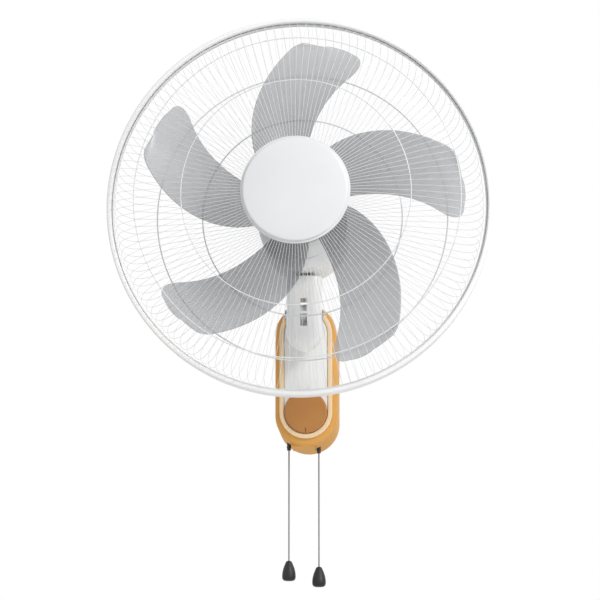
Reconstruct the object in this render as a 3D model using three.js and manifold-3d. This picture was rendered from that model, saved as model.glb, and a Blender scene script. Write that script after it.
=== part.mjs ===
// Wall mounted fan: a wall bracket, a slim base with two pull cords, a tilting neck, and a
// swinging head that holds the motor, five blades and a two-part wire guard.
//
// Millimetres. +Z is up, the wall is the plane y = 0 and the fan blows towards -Y. "Out" is a
// distance from the wall, "forward" is a distance ahead of the axis that the head swings on.

import * as THREE from 'three';
import { mergeVertices } from 'three/addons/utils/BufferGeometryUtils.js';
import Module from 'manifold-3d';

const wasm = await Module();
wasm.setup();

// ---- Driving dimensions -----------------------------------------------------------------

const gap = 0.3; // between two pieces that seat on each other
const endPlay = 0.5; // along the axis of a piece that turns
const over = 1; // how far a cut runs past the face that it opens

// Base on the wall
const bracketSheet = 2;
const bracketMargin = 4; // between the bracket's edge and the housing's inside
const baseWidth = 73;
const baseHeight = 170;
const baseDepth = 76.5; // wall to the housing's front face
const baseWall = 2.5;
const baseEdgeRound = 5;
const trimInset = 5.2; // housing's edge to the trim ring
const trimWidth = 5.6;
const trimDepth = 4.2;
const trimEdge = 0.8;
const panelThickness = 3;
const capMargin = 0.5; // front panel's edge to the round cap
const capThickness = 4;
const capEdge = 1.6;
const capNotchWidth = 1.2;
const capNotchLength = 6;
const screwShank = 2; // radius
const screwHead = 4; // radius
const screwHeadHeight = 2.4;
const fixingDrop = 23; // end of the base to the screw that holds it
const fixingFloor = 3;
const postWall = 2.5;
const inletRadius = 3;
const inletDrop = 20; // below the middle of the base
const grommetWall = 1.7;
const grommetFlange = 2.3;

// Pull cords and the switches they work
const cordRadius = 0.9;
const leftCordInset = 14.3; // housing's side to the cord
const rightCordInset = 23.1;
const cordOut = 40;
const leftCordLength = 137.5;
const rightCordLength = 141.2;
const cordStepLength = 5.4;
const cordInNose = 6; // cord that starts inside the switch's nose
const knobRadius = 8.1;
const knobHeight = 23.6;
const knobNeckRadius = 3.2;
const knobEdge = 1;
// Knob's sides from its foot up, as shares of its radius and height
const knobProfile = [[0.55, 0], [1, 0.2], [0.9, 0.5], [0.6, 0.8]];
const pullTravel = 10;
const noseRadius = 2.3;
const noseBoreSlack = 0.5;
const nutWall = 1.5;
const nutHeight = 4;
const noseBeyondNut = 1;
const drumRadius = 5.5;
const drumThickness = 5;
const drumAxle = 2; // radius
const switchWall = 2;
const switchRise = 27; // underside of the base to the switch's case
const hookSize = 2.6; // bead on the link that works the drum
const capacitorWidth = 36;
const capacitorDepth = 18;
const capacitorHeight = 26;
const capacitorRise = 10; // above the middle of the base
const terminalWidth = 30;
const terminalDepth = 12;
const terminalHeight = 14;
const terminalDrop = 12; // below the middle of the base
const terminalGroove = 2;

// Arm and neck
const tiltDrop = 19; // top of the base down to the tilt axis
const armReach = 31.5; // housing's front face to the tilt axis
const armFlange = 3.2;
const armFlangeWidth = 32;
const armFlangeHeight = 28;
const armFlangeDrop = 18; // tilt axis to the middle of the flange
const armScrewSpread = 23;
const armScrewBite = 10; // screw's reach behind the housing's front wall
const tongueWidth = 14;
const tongueRadius = 12;
const tongueUnder = -120; // degrees: where its underside meets its round end
const neckWidth = 42;
const neckDepth = 36;
const neckBelow = 44; // tilt axis to the neck's lower end
const neckAbove = 44; // tilt axis to the neck's upper end
const neckFoot = 14; // depth that the neck's lower end is cut back
const neckRound = 13;
const slotRise = 18; // slot's top above the tilt axis
const slotFall = 31;
const windowWidth = 8;
const windowHeight = 15;
const windowBar = 3; // between the two windows, in front of the bolt
const boltRadius = 3;
const boltHead = 6; // radius
const boltHeadHeight = 3.4;
const boltRecess = 2;

// Swivel between the neck and the head, and the drive that swings it
const postRadius = 6;
const postDepth = 18; // in the neck
const washerRadius = 14;
const washerThickness = 2;
const sleeveWall = 3.7;
const sleeveLength = 11;
const leverReach = 8; // swivel axis to the link's pin on the neck
const leverThickness = 3;
const leverWidth = 8;
const crankPinRise = 1.5; // over the crank
const linkPinRadius = 2;
const linkThickness = 2.2;
const linkEyeWall = 2.7;
const crankReach = 28; // swivel axis to the crank's axis, behind it
const crankRadius = 9;
const crankThickness = 2.5;
const swingReach = 40; // degrees that the head swings to each side
const swingMotorRadius = 14;
const swingMotorHeight = 8.8;
const swingMotorBase = 7.7; // neck's upper end to the underside of the swing motor
const bracketPlate = 3;
const bracketHalfWidth = 10;
const uprightBack = 16; // swivel axis to the bracket's upright
const uprightDepth = 10;

// Motor and its cover, in the head
const axisRise = 63; // neck's upper end to the fan's axis
const coverHalfWidth = 52;
const coverHalfHeight = 55;
const coverDrop = 5; // fan's axis to the cover's middle
const coverBack = 52; // swivel axis to the cover's rear
const coverWall = 2.2;
const coverRound = 14;
const coverHoleSlack = 2;
const coverScrewSpread = 56;
const coverBossWall = 2.4;
const faceForward = 42; // swivel axis to the face that carries the guard
const faceThickness = 4;
const shaftRadius = 4;
const statorRadius = 34;
const statorBore = 22;
const stackBack = 9; // swivel axis to the stack's rear, behind it
const stackLength = 30;
const airGap = 0.5;
const windingLength = 5;
const windingMargin = 1.2;
const shieldWall = 2.5;
const shieldPlate = 3.5;
const rearShieldDepth = 17;
const bearingWidth = 7;
const bearingRadius = 9;
const noseOnMotor = 11; // radius of the threaded nose that the guard goes over
const shaftBoreSlack = 0.6;
const shaftTail = 4; // shaft behind the rear end shield
const shaftTip = 1;
const rotorShort = 1; // stator's end to the rotor's
const noseBeyondGuardNut = 1;

// Guard, rim and badge
const rimRadius = 222;
const rimWall = 2.8;
const rimWidth = 18;
const rimLip = 2;
const rimEdge = 1.2;
const wireWidth = 2.4;
const wireCount = 24;
const flangeWidth = 4.4; // of each guard's outer ring
const rearGuardDepth = 64.7;
const frontGuardDepth = 84;
const rearCrown = 4; // rise of the rear guard from its plate to its shoulder
const frontCrown = 14;
const rearShoulder = 192;
const frontShoulder = 187;
const rearPlateRadius = 48;
const rearInnerRing = 104;
const rearOuterRing = 162;
const frontInnerRing = 128;
const frontPlateInner = 34;
const frontPlateOuter = 62;
const badgeRadius = 59.5;
const badgeEdge = 3;
const badgeBackEdge = 1;
const badgeCrown = 4.5;
const guardNutRadius = 24;
const guardNutHeight = 6.5;
const guardNutGrips = 8;
const guardNutGripRadius = 2;

// Blades
const bladeCount = 5;
const tipClearance = 29.9; // inside of the rim to the blades' tips
const bladeAhead = 74; // guard's seat to the blades' middle plane
const hubRadius = 42;
const hubBack = 26; // behind the blades' middle plane
const hubAhead = 24;
const hubBossDepth = 16; // hub's rear edge to its boss
const hubEdge = 6;
const hubWall = 3;
const hubBossWall = 5;
const rootPitchHeight = 36;
const tipPitchHeight = 18;
const bladeCamber = 5;
const bladeThickness = 2.6;
const rootLead = 13.4; // degrees: the leading edge at the hub
const rootTrail = 71.6;
const leadSweep = 22.8; // degrees that the leading edge sweeps from hub to tip
const trailSweep = 53.4;
const leadCorner = 27; // rounding of the tip's corners
const trailCorner = 8;
const drivePinRadius = 1.5;
const drivePinLength = 18;
const bladeNutRadius = 13;
const bladeNutHeight = 18;
const bladeNutSkirt = 6;
// Blade nut's nose, as shares of its radius and height
const bladeNutNose = [[0.8, 0.75], [0.4, 1]];
const shaftInNut = 12;

// ---- Places that follow from them ---------------------------------------------------------

const quarter = Math.PI / 2;
const degrees = (angle) => (angle * Math.PI) / 180;
const baseRadius = baseWidth / 2;
const baseArcHeight = baseHeight / 2 - baseRadius; // centre of each round end
const leftCordX = leftCordInset - baseRadius;
const rightCordX = baseRadius - rightCordInset;
const underside = -baseHeight / 2;
const tiltRise = baseHeight / 2 - tiltDrop;
const columnOut = baseDepth + armReach; // tilt and swivel axes from the wall
const neckTop = tiltRise + neckAbove;
const fanHeight = neckTop + axisRise;
const neckTopInHead = -axisRise;
const guardSeat = faceForward + gap;
const rimForward = guardSeat + rearGuardDepth;
const badgePlate = rimForward + frontGuardDepth;
const bladeForward = guardSeat + bladeAhead;
const tipRadius = rimRadius - rimWall - tipClearance;
const stackFront = stackLength - stackBack;
const shieldRadius = statorRadius + shieldWall + gap;
const switchHeight = 2 * (switchWall + pullTravel + gap); // room for the hook below its middle

// ---- Solids ---------------------------------------------------------------------------------

function indexed(geometry) {
  const bare = geometry.clone();
  bare.deleteAttribute('normal');
  bare.deleteAttribute('uv');
  const merged = mergeVertices(bare, 1e-4);
  const corner = merged.index.array;
  const kept = [];
  for (let i = 0; i < corner.length; i += 3) {
    const [a, b, c] = [corner[i], corner[i + 1], corner[i + 2]];
    if (a !== b && b !== c && c !== a) kept.push(a, b, c);
  }
  merged.setIndex(kept);
  return merged;
}

function solid(geometry) {
  const merged = indexed(geometry);
  return new wasm.Manifold(new wasm.Mesh({
    numProp: 3,
    vertProperties: new Float32Array(merged.attributes.position.array),
    triVerts: new Uint32Array(merged.index.array),
  }));
}

function geometryOf(manifold) {
  const mesh = manifold.getMesh();
  const geometry = new THREE.BufferGeometry();
  geometry.setAttribute('position', new THREE.BufferAttribute(mesh.vertProperties, 3));
  geometry.setIndex(new THREE.BufferAttribute(mesh.triVerts, 1));
  geometry.computeVertexNormals();
  return geometry;
}

function join(first, ...others) {
  return geometryOf(others.reduce((whole, other) => whole.add(solid(other)), solid(first)));
}

function cut(first, ...tools) {
  return geometryOf(tools.reduce((whole, tool) => whole.subtract(solid(tool)), solid(first)));
}

function overlap(first, ...others) {
  return geometryOf(others.reduce((whole, other) => whole.intersect(solid(other)), solid(first)));
}

// Round about the y axis from [radius, height] corners. A profile whose ends are off the axis
// is closed on itself, and either order of the corners gives outward faces.
function lathe(profile, segments) {
  const points = profile.map(([radius, height]) => new THREE.Vector2(radius, height));
  const hollow = profile[0][0] > 0 && profile.at(-1)[0] > 0;
  const outline = THREE.ShapeUtils.area(points) < 0 ? points.reverse() : points;
  if (hollow) outline.push(outline[0].clone());
  return new THREE.LatheGeometry(outline, segments);
}

// Round about the fan's axis from [radius, forward] corners
const turned = (profile, segments = 24) => lathe(profile, segments).rotateX(Math.PI);

// Round about a vertical axis from [radius, height] corners
const upright = (profile, segments = 16) => lathe(profile, segments).rotateX(quarter);

// Round about a level axis across the fan from [radius, x] corners
const crosswise = (profile, segments = 16) => lathe(profile, segments).rotateZ(-quarter);

const rod = (radius, from, to) => [[0, from], [radius, from], [radius, to], [0, to]];
const ring = (inner, outer, from, to) => [[inner, from], [outer, from], [outer, to], [inner, to]];

// Flat piece with its outline seen from the front and its thickness running forward from back
function facing(shape, back, thickness, { round = 0, steps = 2, arc = 6 } = {}) {
  const geometry = new THREE.ExtrudeGeometry(shape, {
    depth: thickness - 2 * round,
    bevelEnabled: round > 0,
    bevelThickness: round,
    bevelSize: round,
    bevelOffset: -round,
    bevelSegments: steps,
    curveSegments: arc,
  });
  return geometry.translate(0, 0, round).rotateX(quarter).translate(0, -back, 0);
}

// Flat piece with its outline in plan ([x, forward] turned to [x, -y]) and its thickness upward
function lying(shape, bottom, thickness, arc = 4) {
  const settings = { depth: thickness, bevelEnabled: false, curveSegments: arc };
  return new THREE.ExtrudeGeometry(shape, settings).translate(0, 0, bottom);
}

// Flat piece with its outline seen from the side ([forward, height]), centred across
function sideways(shape, width, arc = 3) {
  const settings = { depth: width, bevelEnabled: false, curveSegments: arc };
  const geometry = new THREE.ExtrudeGeometry(shape, settings).translate(0, 0, -width / 2);
  return geometry.rotateX(quarter).rotateZ(-quarter);
}

// Box from its lowest and highest corner, with forward distances in place of y
function block([x0, back, z0], [x1, front, z1]) {
  const geometry = new THREE.BoxGeometry(x1 - x0, front - back, z1 - z0);
  return geometry.translate((x0 + x1) / 2, -(back + front) / 2, (z0 + z1) / 2);
}

function stadium(width, height) {
  const radius = width / 2;
  const centre = height / 2 - radius;
  const shape = new THREE.Shape();
  shape.absarc(0, centre, radius, 0, Math.PI);
  shape.absarc(0, -centre, radius, Math.PI, 2 * Math.PI);
  shape.closePath();
  return shape;
}

function ellipse(halfWidth, halfHeight, centreHeight = 0) {
  return new THREE.Shape().absellipse(0, centreHeight, halfWidth, halfHeight, 0, 2 * Math.PI);
}

function roundedRectangle(width, height, radius) {
  const [x, y] = [width / 2 - radius, height / 2 - radius];
  const shape = new THREE.Shape();
  shape.absarc(x, y, radius, 0, quarter);
  shape.absarc(-x, y, radius, quarter, 2 * quarter);
  shape.absarc(-x, -y, radius, 2 * quarter, 3 * quarter);
  shape.absarc(x, -y, radius, 3 * quarter, 4 * quarter);
  shape.closePath();
  return shape;
}

function polygon(corners) {
  return new THREE.Shape(corners.map(([x, y]) => new THREE.Vector2(x, y)));
}

// ---- Materials ------------------------------------------------------------------------------

const finish = (color, roughness, metalness = 0) =>
  () => new THREE.MeshStandardMaterial({ color, roughness, metalness });

const whitePlastic = finish(0xf2f2f0, 0.4);
const whiteWire = finish(0xf5f5f3, 0.35, 0.1);
const greyBlade = finish(0xb4b6ba, 0.35);
const honeyPlastic = finish(0xd39a58, 0.4);
const creamPlastic = finish(0xeccfa6, 0.35);
const brownPlastic = finish(0xaf7a42, 0.3);
const blackPlastic = finish(0x3a3b3c, 0.45);
const blackRubber = finish(0x222222, 0.8);
const greyCord = finish(0x8f9092, 0.8);
const steel = finish(0xb9bcc0, 0.35, 1);
const lamination = finish(0x8d8f93, 0.5, 0.9);
const copper = finish(0xb4693a, 0.4, 0.8);
const castAluminium = finish(0xc3c5c8, 0.5, 0.9);
const brass = finish(0xc7a250, 0.35, 1);

// ---- The assembly ---------------------------------------------------------------------------

const fan = new THREE.Group();

const base = new THREE.Group();
fan.add(base);

const neckGroup = new THREE.Group();
neckGroup.position.set(0, -columnOut, tiltRise);
fan.add(neckGroup);

const head = new THREE.Group();
head.position.set(0, -columnOut, fanHeight);
fan.add(head);

function piece(group, name, geometry, material) {
  const mesh = new THREE.Mesh(geometry, material());
  mesh.name = name;
  group.add(mesh);
  return mesh;
}

// ---- Wall bracket and base housing ----------------------------------------------------------

const fixingHeights = [baseHeight / 2 - fixingDrop, -(baseHeight / 2 - fixingDrop)];
const screwHole = screwShank + gap;

function verticalAt(geometry, x, out) {
  return geometry.translate(x, -out, 0);
}

function alongAt(geometry, x, height) {
  return geometry.translate(x, 0, height);
}

function makeBracket() {
  const inset = 2 * (baseWall + bracketMargin);
  const sheet = facing(stadium(baseWidth - inset, baseHeight - inset), 0, bracketSheet);
  const through = (radius) => turned(rod(radius, -over, bracketSheet + over), 12);
  const holes = fixingHeights.map((height) => alongAt(through(screwHole), 0, height));
  const inlet = alongAt(through(inletRadius + grommetWall + gap), 0, -inletDrop);
  piece(base, 'wall_bracket', cut(sheet, ...holes, inlet), steel);
}

function makeInletGrommet() {
  const barrel = inletRadius + grommetWall;
  const flangeBack = bracketSheet + gap;
  const profile = [
    [inletRadius, gap], [barrel, gap], [barrel, flangeBack],
    [barrel + grommetFlange, flangeBack], [barrel + grommetFlange, flangeBack + grommetFlange],
    [inletRadius, flangeBack + grommetFlange],
  ];
  piece(base, 'lead_grommet', alongAt(turned(profile, 12), 0, -inletDrop), blackRubber);
}

const armScrewHeight = tiltRise - armFlangeDrop;
const postInner = screwHead + gap;
const postOuter = postInner + postWall;
const postBack = bracketSheet + gap;

function makeHousing() {
  const innerWidth = baseWidth - 2 * baseWall;
  const innerHeight = baseHeight - 2 * baseWall;
  const back = gap;
  const rounded = facing(stadium(baseWidth, baseHeight), back - 2 * baseEdgeRound,
    baseDepth - back + 2 * baseEdgeRound, { round: baseEdgeRound, steps: 2, arc: 7 });
  const behind = block([-baseWidth, -4 * baseEdgeRound, -baseHeight], [baseWidth, back, baseHeight]);
  const inside = facing(stadium(innerWidth, innerHeight), back - over,
    baseDepth - baseWall - back + over, { arc: 7 });
  const shell = cut(rounded, behind, inside);
  const posts = fixingHeights.map((height) => (
    alongAt(turned(rod(postOuter, postBack, baseDepth - baseWall / 2), 12), 0, height)));
  const bores = fixingHeights.flatMap((height) => [
    alongAt(turned(rod(postInner, postBack + fixingFloor, baseDepth + over), 12), 0, height),
    alongAt(turned(rod(screwHole, 0, baseDepth), 12), 0, height),
  ]);
  const noseHoles = [leftCordX, rightCordX].map((x) => (
    verticalAt(upright(rod(noseRadius + gap, 2 * underside, -baseArcHeight), 12), x, cordOut)));
  const armHoles = [-1, 1].map((side) => (
    alongAt(turned(rod(screwHole, baseDepth / 2, baseDepth + over), 12),
      side * armScrewSpread / 2, armScrewHeight)));
  piece(base, 'base_housing', cut(join(shell, ...posts), ...bores, ...noseHoles, ...armHoles),
    honeyPlastic);
}

// Screw whose head's underside is at headBack, with its shank reaching back
function screw(headBack, shankLength) {
  return turned([
    [0, headBack - shankLength], [screwShank, headBack - shankLength], [screwShank, headBack],
    [screwHead, headBack], [screwHead, headBack + screwHeadHeight / 2],
    [screwHead / 2, headBack + screwHeadHeight], [0, headBack + screwHeadHeight],
  ], 12);
}

function makeBaseScrews() {
  const seat = postBack + fixingFloor + gap;
  fixingHeights.forEach((height, index) => {
    const name = ['base_screw_top', 'base_screw_bottom'][index];
    piece(base, name, alongAt(screw(seat, seat - gap), 0, height), steel);
  });
}

// ---- Front panel, trim ring and round cap ---------------------------------------------------

const panelBack = baseDepth + gap;
const panelInset = 2 * (trimInset + trimWidth + gap);
const panelFront = panelBack + panelThickness;

function makeFront() {
  const outer = 2 * trimInset;
  const inner = 2 * (trimInset + trimWidth);
  const trimShape = stadium(baseWidth - outer, baseHeight - outer);
  const trim = facing(trimShape, panelBack, trimDepth, { round: trimEdge, steps: 1 });
  const trimHole = facing(stadium(baseWidth - inner, baseHeight - inner), 0, 2 * baseDepth);
  piece(base, 'trim_ring', cut(trim, trimHole), creamPlastic);

  const panelShape = stadium(baseWidth - panelInset, baseHeight - panelInset);
  const panel = facing(panelShape, panelBack, panelThickness);
  const armHoles = [-1, 1].map((side) => (
    alongAt(turned(rod(screwHole, baseDepth / 2, 2 * baseDepth), 12),
      side * armScrewSpread / 2, armScrewHeight)));
  piece(base, 'front_panel', cut(panel, ...armHoles), whitePlastic);

  const capRadius = (baseWidth - panelInset) / 2 - capMargin;
  const capBack = panelFront + gap;
  const disc = turned([
    [0, capBack], [capRadius, capBack], [capRadius, capBack + capThickness - capEdge],
    [capRadius - capEdge, capBack + capThickness], [0, capBack + capThickness],
  ], 28);
  const notchTop = -capRadius + capNotchLength;
  const notch = block([-capNotchWidth / 2, capBack + capThickness / 2, -2 * capRadius],
    [capNotchWidth / 2, capBack + 2 * capThickness, notchTop]);
  piece(base, 'round_cap', alongAt(cut(disc, notch), 0, -baseArcHeight), brownPlastic);
}

// ---- Electrical pieces in the base ----------------------------------------------------------

function makeElectrics() {
  const behindFront = baseDepth - baseWall - gap;
  const mounted = (across, out, up, rise) => (
    block([-across / 2, behindFront - out, rise], [across / 2, behindFront, rise + up]));
  const capacitor = mounted(capacitorWidth, capacitorDepth, capacitorHeight, capacitorRise);
  piece(base, 'run_capacitor', capacitor, blackPlastic);
  const body = mounted(terminalWidth, terminalDepth, terminalHeight, -terminalDrop);
  const grooves = [-terminalWidth / 4, terminalWidth / 4].map((x) => block(
    [x - terminalGroove / 2, 0, terminalHeight / 2 - terminalDrop],
    [x + terminalGroove / 2, behindFront - terminalDepth / 2, terminalHeight]));
  piece(base, 'terminal_block', cut(body, ...grooves), creamPlastic);
}

// Pull switch: a case on the base's underside whose nose lets the cord out, a drum inside it
// that the cord turns, the nut on the nose, and the cord with its knob.
function makePullSwitch(side, cordX, cordLength, caseName, drumName) {
  const nutOuter = noseRadius + gap + nutWall;
  const steepest = Math.max(Math.abs(cordX) - nutOuter, 0);
  const nutTop = -baseArcHeight - Math.sqrt(baseRadius ** 2 - steepest ** 2) - gap;
  const noseEnd = nutTop - nutHeight - noseBeyondNut;
  const caseBottom = underside + switchRise;
  const caseTop = caseBottom + switchHeight;
  const drumX = cordX + drumRadius + gap + cordRadius;
  const drumZ = (caseBottom + caseTop) / 2;
  const caseLeft = cordX - hookSize / 2 - gap - switchWall;
  const caseRight = drumX + drumRadius + 2 * gap + switchWall;
  const drumBack = cordOut - drumThickness / 2;
  const caseBack = drumBack - gap - 2 * switchWall;
  const caseFront = cordOut + drumThickness / 2 + 2 * switchWall;
  const bore = cordRadius + noseBoreSlack;

  const box = block([caseLeft, caseBack, caseBottom], [caseRight, caseFront, caseTop]);
  const nose = verticalAt(
    upright(rod(noseRadius, noseEnd, caseBottom + switchWall / 2), 12), cordX, cordOut);
  const cavity = block([caseLeft + switchWall, drumBack - gap, caseBottom + switchWall],
    [caseRight - switchWall, caseFront + over, caseTop - switchWall]);
  const way = verticalAt(upright(rod(bore, noseEnd - over, drumZ), 8), cordX, cordOut);
  const axle = turned(rod(drumAxle, caseBack + switchWall, drumBack + drumThickness + gap), 10);
  axle.translate(drumX, 0, drumZ);
  piece(base, caseName, join(cut(join(box, nose), cavity, way), axle), blackPlastic);

  const drum = turned(ring(drumAxle + gap, drumRadius, drumBack, drumBack + drumThickness), 16);
  piece(base, drumName, drum.translate(drumX, 0, drumZ), brass);

  const nut = upright(ring(noseRadius + gap, nutOuter, nutTop - nutHeight, nutTop), 12);
  piece(base, `cord_nut_${side}`, verticalAt(nut, cordX, cordOut), blackPlastic);

  const cordTop = noseEnd + cordInNose;
  const cordBottom = cordTop - cordLength;
  const linkTop = drumZ + hookSize / 2;
  const link = verticalAt(
    upright(rod(cordRadius, cordTop + gap, linkTop), 8), cordX, cordOut);
  const hook = block([cordX - hookSize / 2, cordOut - hookSize / 2, linkTop - hookSize / 4],
    [cordX + cordRadius, cordOut + hookSize / 2, linkTop + hookSize]);
  piece(base, `pull_link_${side}`, join(link, hook), steel);

  const outline = new THREE.Shape().absarc(0, 0, cordRadius, 0, 2 * Math.PI);
  const path = new THREE.LineCurve3(
    new THREE.Vector3(cordX, -cordOut, cordTop), new THREE.Vector3(cordX, -cordOut, cordBottom));
  const cord = new THREE.ExtrudeGeometry(outline, {
    steps: Math.round(cordLength / cordStepLength), extrudePath: path, curveSegments: 4,
    bevelEnabled: false,
  });
  piece(base, `pull_cord_${side}`, cord, greyCord);

  const knobTop = cordBottom - gap;
  const knobFoot = knobTop - knobHeight;
  const knob = upright([
    [0, knobFoot],
    ...knobProfile.map(([across, up]) => [knobRadius * across, knobFoot + knobHeight * up]),
    [knobNeckRadius, knobTop - knobEdge], [knobNeckRadius - knobEdge, knobTop], [0, knobTop],
  ], 16);
  piece(base, `pull_knob_${side}`, verticalAt(knob, cordX, cordOut), blackPlastic);
}

// ---- Arm and tilting neck -------------------------------------------------------------------

function makeArm() {
  const flangeBack = panelFront + gap;
  const half = armFlangeHeight / 2;
  const outline = roundedRectangle(armFlangeWidth, armFlangeHeight, armFlange);
  const flange = alongAt(facing(outline, flangeBack, armFlange), 0, armScrewHeight);
  const root = flangeBack + armFlange / 2;
  const tongueShape = new THREE.Shape();
  tongueShape.moveTo(root, armScrewHeight - half);
  tongueShape.absarc(columnOut, tiltRise, tongueRadius, degrees(tongueUnder), quarter);
  tongueShape.lineTo(root, armScrewHeight + half);
  tongueShape.closePath();
  const tongue = sideways(tongueShape, tongueWidth, 6);
  const screwHoles = [-1, 1].map((side) => (
    alongAt(turned(rod(screwHole, 0, columnOut), 12), side * armScrewSpread / 2, armScrewHeight)));
  const bore = crosswise(rod(boltRadius + gap, -neckWidth, neckWidth), 16)
    .translate(0, -columnOut, tiltRise);
  piece(base, 'tilt_arm', cut(join(flange, tongue), bore, ...screwHoles), whitePlastic);

  const seat = flangeBack + armFlange + gap;
  [-1, 1].forEach((side) => {
    const name = side < 0 ? 'arm_screw_left' : 'arm_screw_right';
    const fixing = screw(seat, seat - baseDepth + armScrewBite);
    piece(base, name, alongAt(fixing, side * armScrewSpread / 2, armScrewHeight), steel);
  });
}

function makeTiltBolt() {
  const recessFloor = neckWidth / 2 - boltRecess;
  const seat = recessFloor + gap;
  const bolt = crosswise([
    [0, -seat - boltHeadHeight], [boltHead, -seat - boltHeadHeight], [boltHead, -seat],
    [boltRadius, -seat], [boltRadius, seat + boltHeadHeight], [0, seat + boltHeadHeight],
  ], 12);
  piece(base, 'tilt_bolt', bolt.translate(0, -columnOut, tiltRise), steel);
  const nut = crosswise(
    ring(boltRadius + gap, boltHead, seat, seat + boltHeadHeight - 2 * gap), 12);
  piece(base, 'tilt_nut', nut.translate(0, -columnOut, tiltRise), steel);
}

function makeNeck() {
  const [w, d] = [neckWidth / 2, neckDepth / 2];
  const front = new THREE.Shape();
  front.moveTo(w, neckAbove);
  front.lineTo(-w, neckAbove);
  front.absarc(0, w - neckBelow, w, Math.PI, 2 * Math.PI);
  front.closePath();
  const side = polygon([
    [-d, neckAbove], [-d, 0], [-d + neckFoot, -neckBelow], [d - neckFoot / 2, -neckBelow],
    [d, -neckBelow + neckFoot], [d, neckAbove],
  ]);
  const plan = roundedRectangle(neckWidth, neckDepth, neckRound);
  const whole = overlap(
    lying(plan, -neckBelow, neckBelow + neckAbove, 2),
    facing(front, -neckDepth, 2 * neckDepth, { arc: 6 }), sideways(side, 2 * neckWidth));
  const slotHalf = tongueWidth / 2 + gap;
  const slotFront = tongueRadius + 2 * gap;
  const slot = block([-slotHalf, -neckDepth, -slotFall], [slotHalf, slotFront, slotRise]);
  const sight = (bottom) => block([-windowWidth / 2, 0, bottom],
    [windowWidth / 2, neckDepth, bottom + windowHeight]);
  const boltHole = crosswise(rod(boltRadius + gap, -neckWidth, neckWidth), 16);
  const recess = (sign) => crosswise(
    rod(boltHead + 2 * gap, sign * (w - boltRecess), sign * neckWidth), 16);
  const postHole = upright(
    rod(postRadius + gap, neckAbove - postDepth, neckAbove + over), 16);
  const windows = [windowBar / 2, -windowBar / 2 - windowHeight].map(sight);
  const body = cut(whole, slot, ...windows, boltHole, recess(-1), recess(1), postHole);
  piece(neckGroup, 'neck', body, whitePlastic);
}

// ---- Swivel ---------------------------------------------------------------------------------

const washerBottom = neckAbove + gap; // heights above the tilt axis, in the neck's group
const sleeveBottomInHead = neckTopInHead + gap + washerThickness + gap;
const sleeveTopInHead = sleeveBottomInHead + sleeveLength;
const leverBottomInHead = sleeveTopInHead + endPlay;
const neckToHead = neckAbove + axisRise; // neck's origin to the head's, in height
const crankBottom = neckTopInHead + swingMotorBase + swingMotorHeight + gap;
const crankPinTop = crankBottom + crankThickness + crankPinRise;
const linkBottom = Math.max(crankPinTop, leverBottomInHead + leverThickness) + gap;
const linkTopInHead = linkBottom + linkThickness;

// Flat bar with round ends from one point to another in plan, points as [x, forward]
function bar([x0, f0], [x1, f1], radius0, radius1) {
  const away = Math.atan2(-(f1 - f0), x1 - x0);
  const shape = new THREE.Shape();
  shape.absarc(x0, -f0, radius0, away + quarter, away + 3 * quarter);
  shape.absarc(x1, -f1, radius1, away - quarter, away + quarter);
  shape.closePath();
  return shape;
}

function makeSwivelPost() {
  const bottom = neckAbove - postDepth + gap;
  const leverBottom = leverBottomInHead + neckToHead;
  const top = leverBottom + leverThickness;
  const pinTop = linkTopInHead + neckToHead + gap;
  const post = upright(rod(postRadius, bottom, top), 16);
  const lever = lying(bar([0, 0], leverPin, postRadius, leverWidth / 2),
    leverBottom, leverThickness);
  const pin = upright(rod(linkPinRadius, leverBottom + leverThickness / 2, pinTop), 10)
    .translate(leverPin[0], -leverPin[1], 0);
  piece(neckGroup, 'swivel_post', join(post, lever, pin), steel);
  const washer = upright(
    ring(postRadius + gap, washerRadius, washerBottom, washerBottom + washerThickness), 20);
  piece(neckGroup, 'thrust_washer', washer, blackPlastic);
}

// The swing's four-bar linkage in plan, as [x, forward] with the head facing straight ahead.
// The lever's pin moves square to its lever there, and the crank and the link line up at both
// ends of the swing, which settles how long each of them is.
function linkage() {
  const crankAxis = [0, -crankReach];
  const rest = Math.acos(leverReach / crankReach);
  const leverPin = [-leverReach * Math.sin(rest), -leverReach * Math.cos(rest)];
  const apartAt = (angle) => Math.sqrt(
    crankReach ** 2 + leverReach ** 2 - 2 * crankReach * leverReach * Math.cos(angle));
  const swing = degrees(swingReach);
  const [nearest, farthest] = [apartAt(rest - swing), apartAt(rest + swing)];
  const link = (nearest + farthest) / 2;
  const crank = (farthest - nearest) / 2;
  const apart = apartAt(rest);
  const corner = Math.acos((crank ** 2 + apart ** 2 - link ** 2) / (2 * crank * apart));
  const toPin = Math.atan2(leverPin[1] - crankAxis[1], leverPin[0] - crankAxis[0]) + corner;
  const crankPin = [crankAxis[0] + crank * Math.cos(toPin), crankAxis[1] + crank * Math.sin(toPin)];
  return { crankAxis, leverPin, crankPin };
}

const { crankAxis, leverPin, crankPin } = linkage();

function makeSwingDrive() {
  const motorBottom = neckTopInHead + swingMotorBase;
  const motor = upright(rod(swingMotorRadius, motorBottom, motorBottom + swingMotorHeight), 20)
    .translate(crankAxis[0], -crankAxis[1], 0);
  piece(head, 'swing_motor', motor, castAluminium);

  const disc = upright(rod(crankRadius, crankBottom, crankBottom + crankThickness), 16)
    .translate(crankAxis[0], -crankAxis[1], 0);
  const pin = upright(rod(linkPinRadius, crankBottom + crankThickness / 2, crankPinTop), 10)
    .translate(crankPin[0], -crankPin[1], 0);
  piece(head, 'swing_crank', join(disc, pin), brass);

  const eye = linkPinRadius + gap + linkEyeWall;
  const plate = lying(bar(leverPin, crankPin, eye, eye), linkBottom, linkThickness);
  const eyes = [leverPin, crankPin].map(([x, forward]) => (
    upright(rod(linkPinRadius + gap, linkBottom - over, linkTopInHead + over), 10)
      .translate(x, -forward, 0)));
  piece(head, 'swing_link', cut(plate, ...eyes), steel);
}

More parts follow.
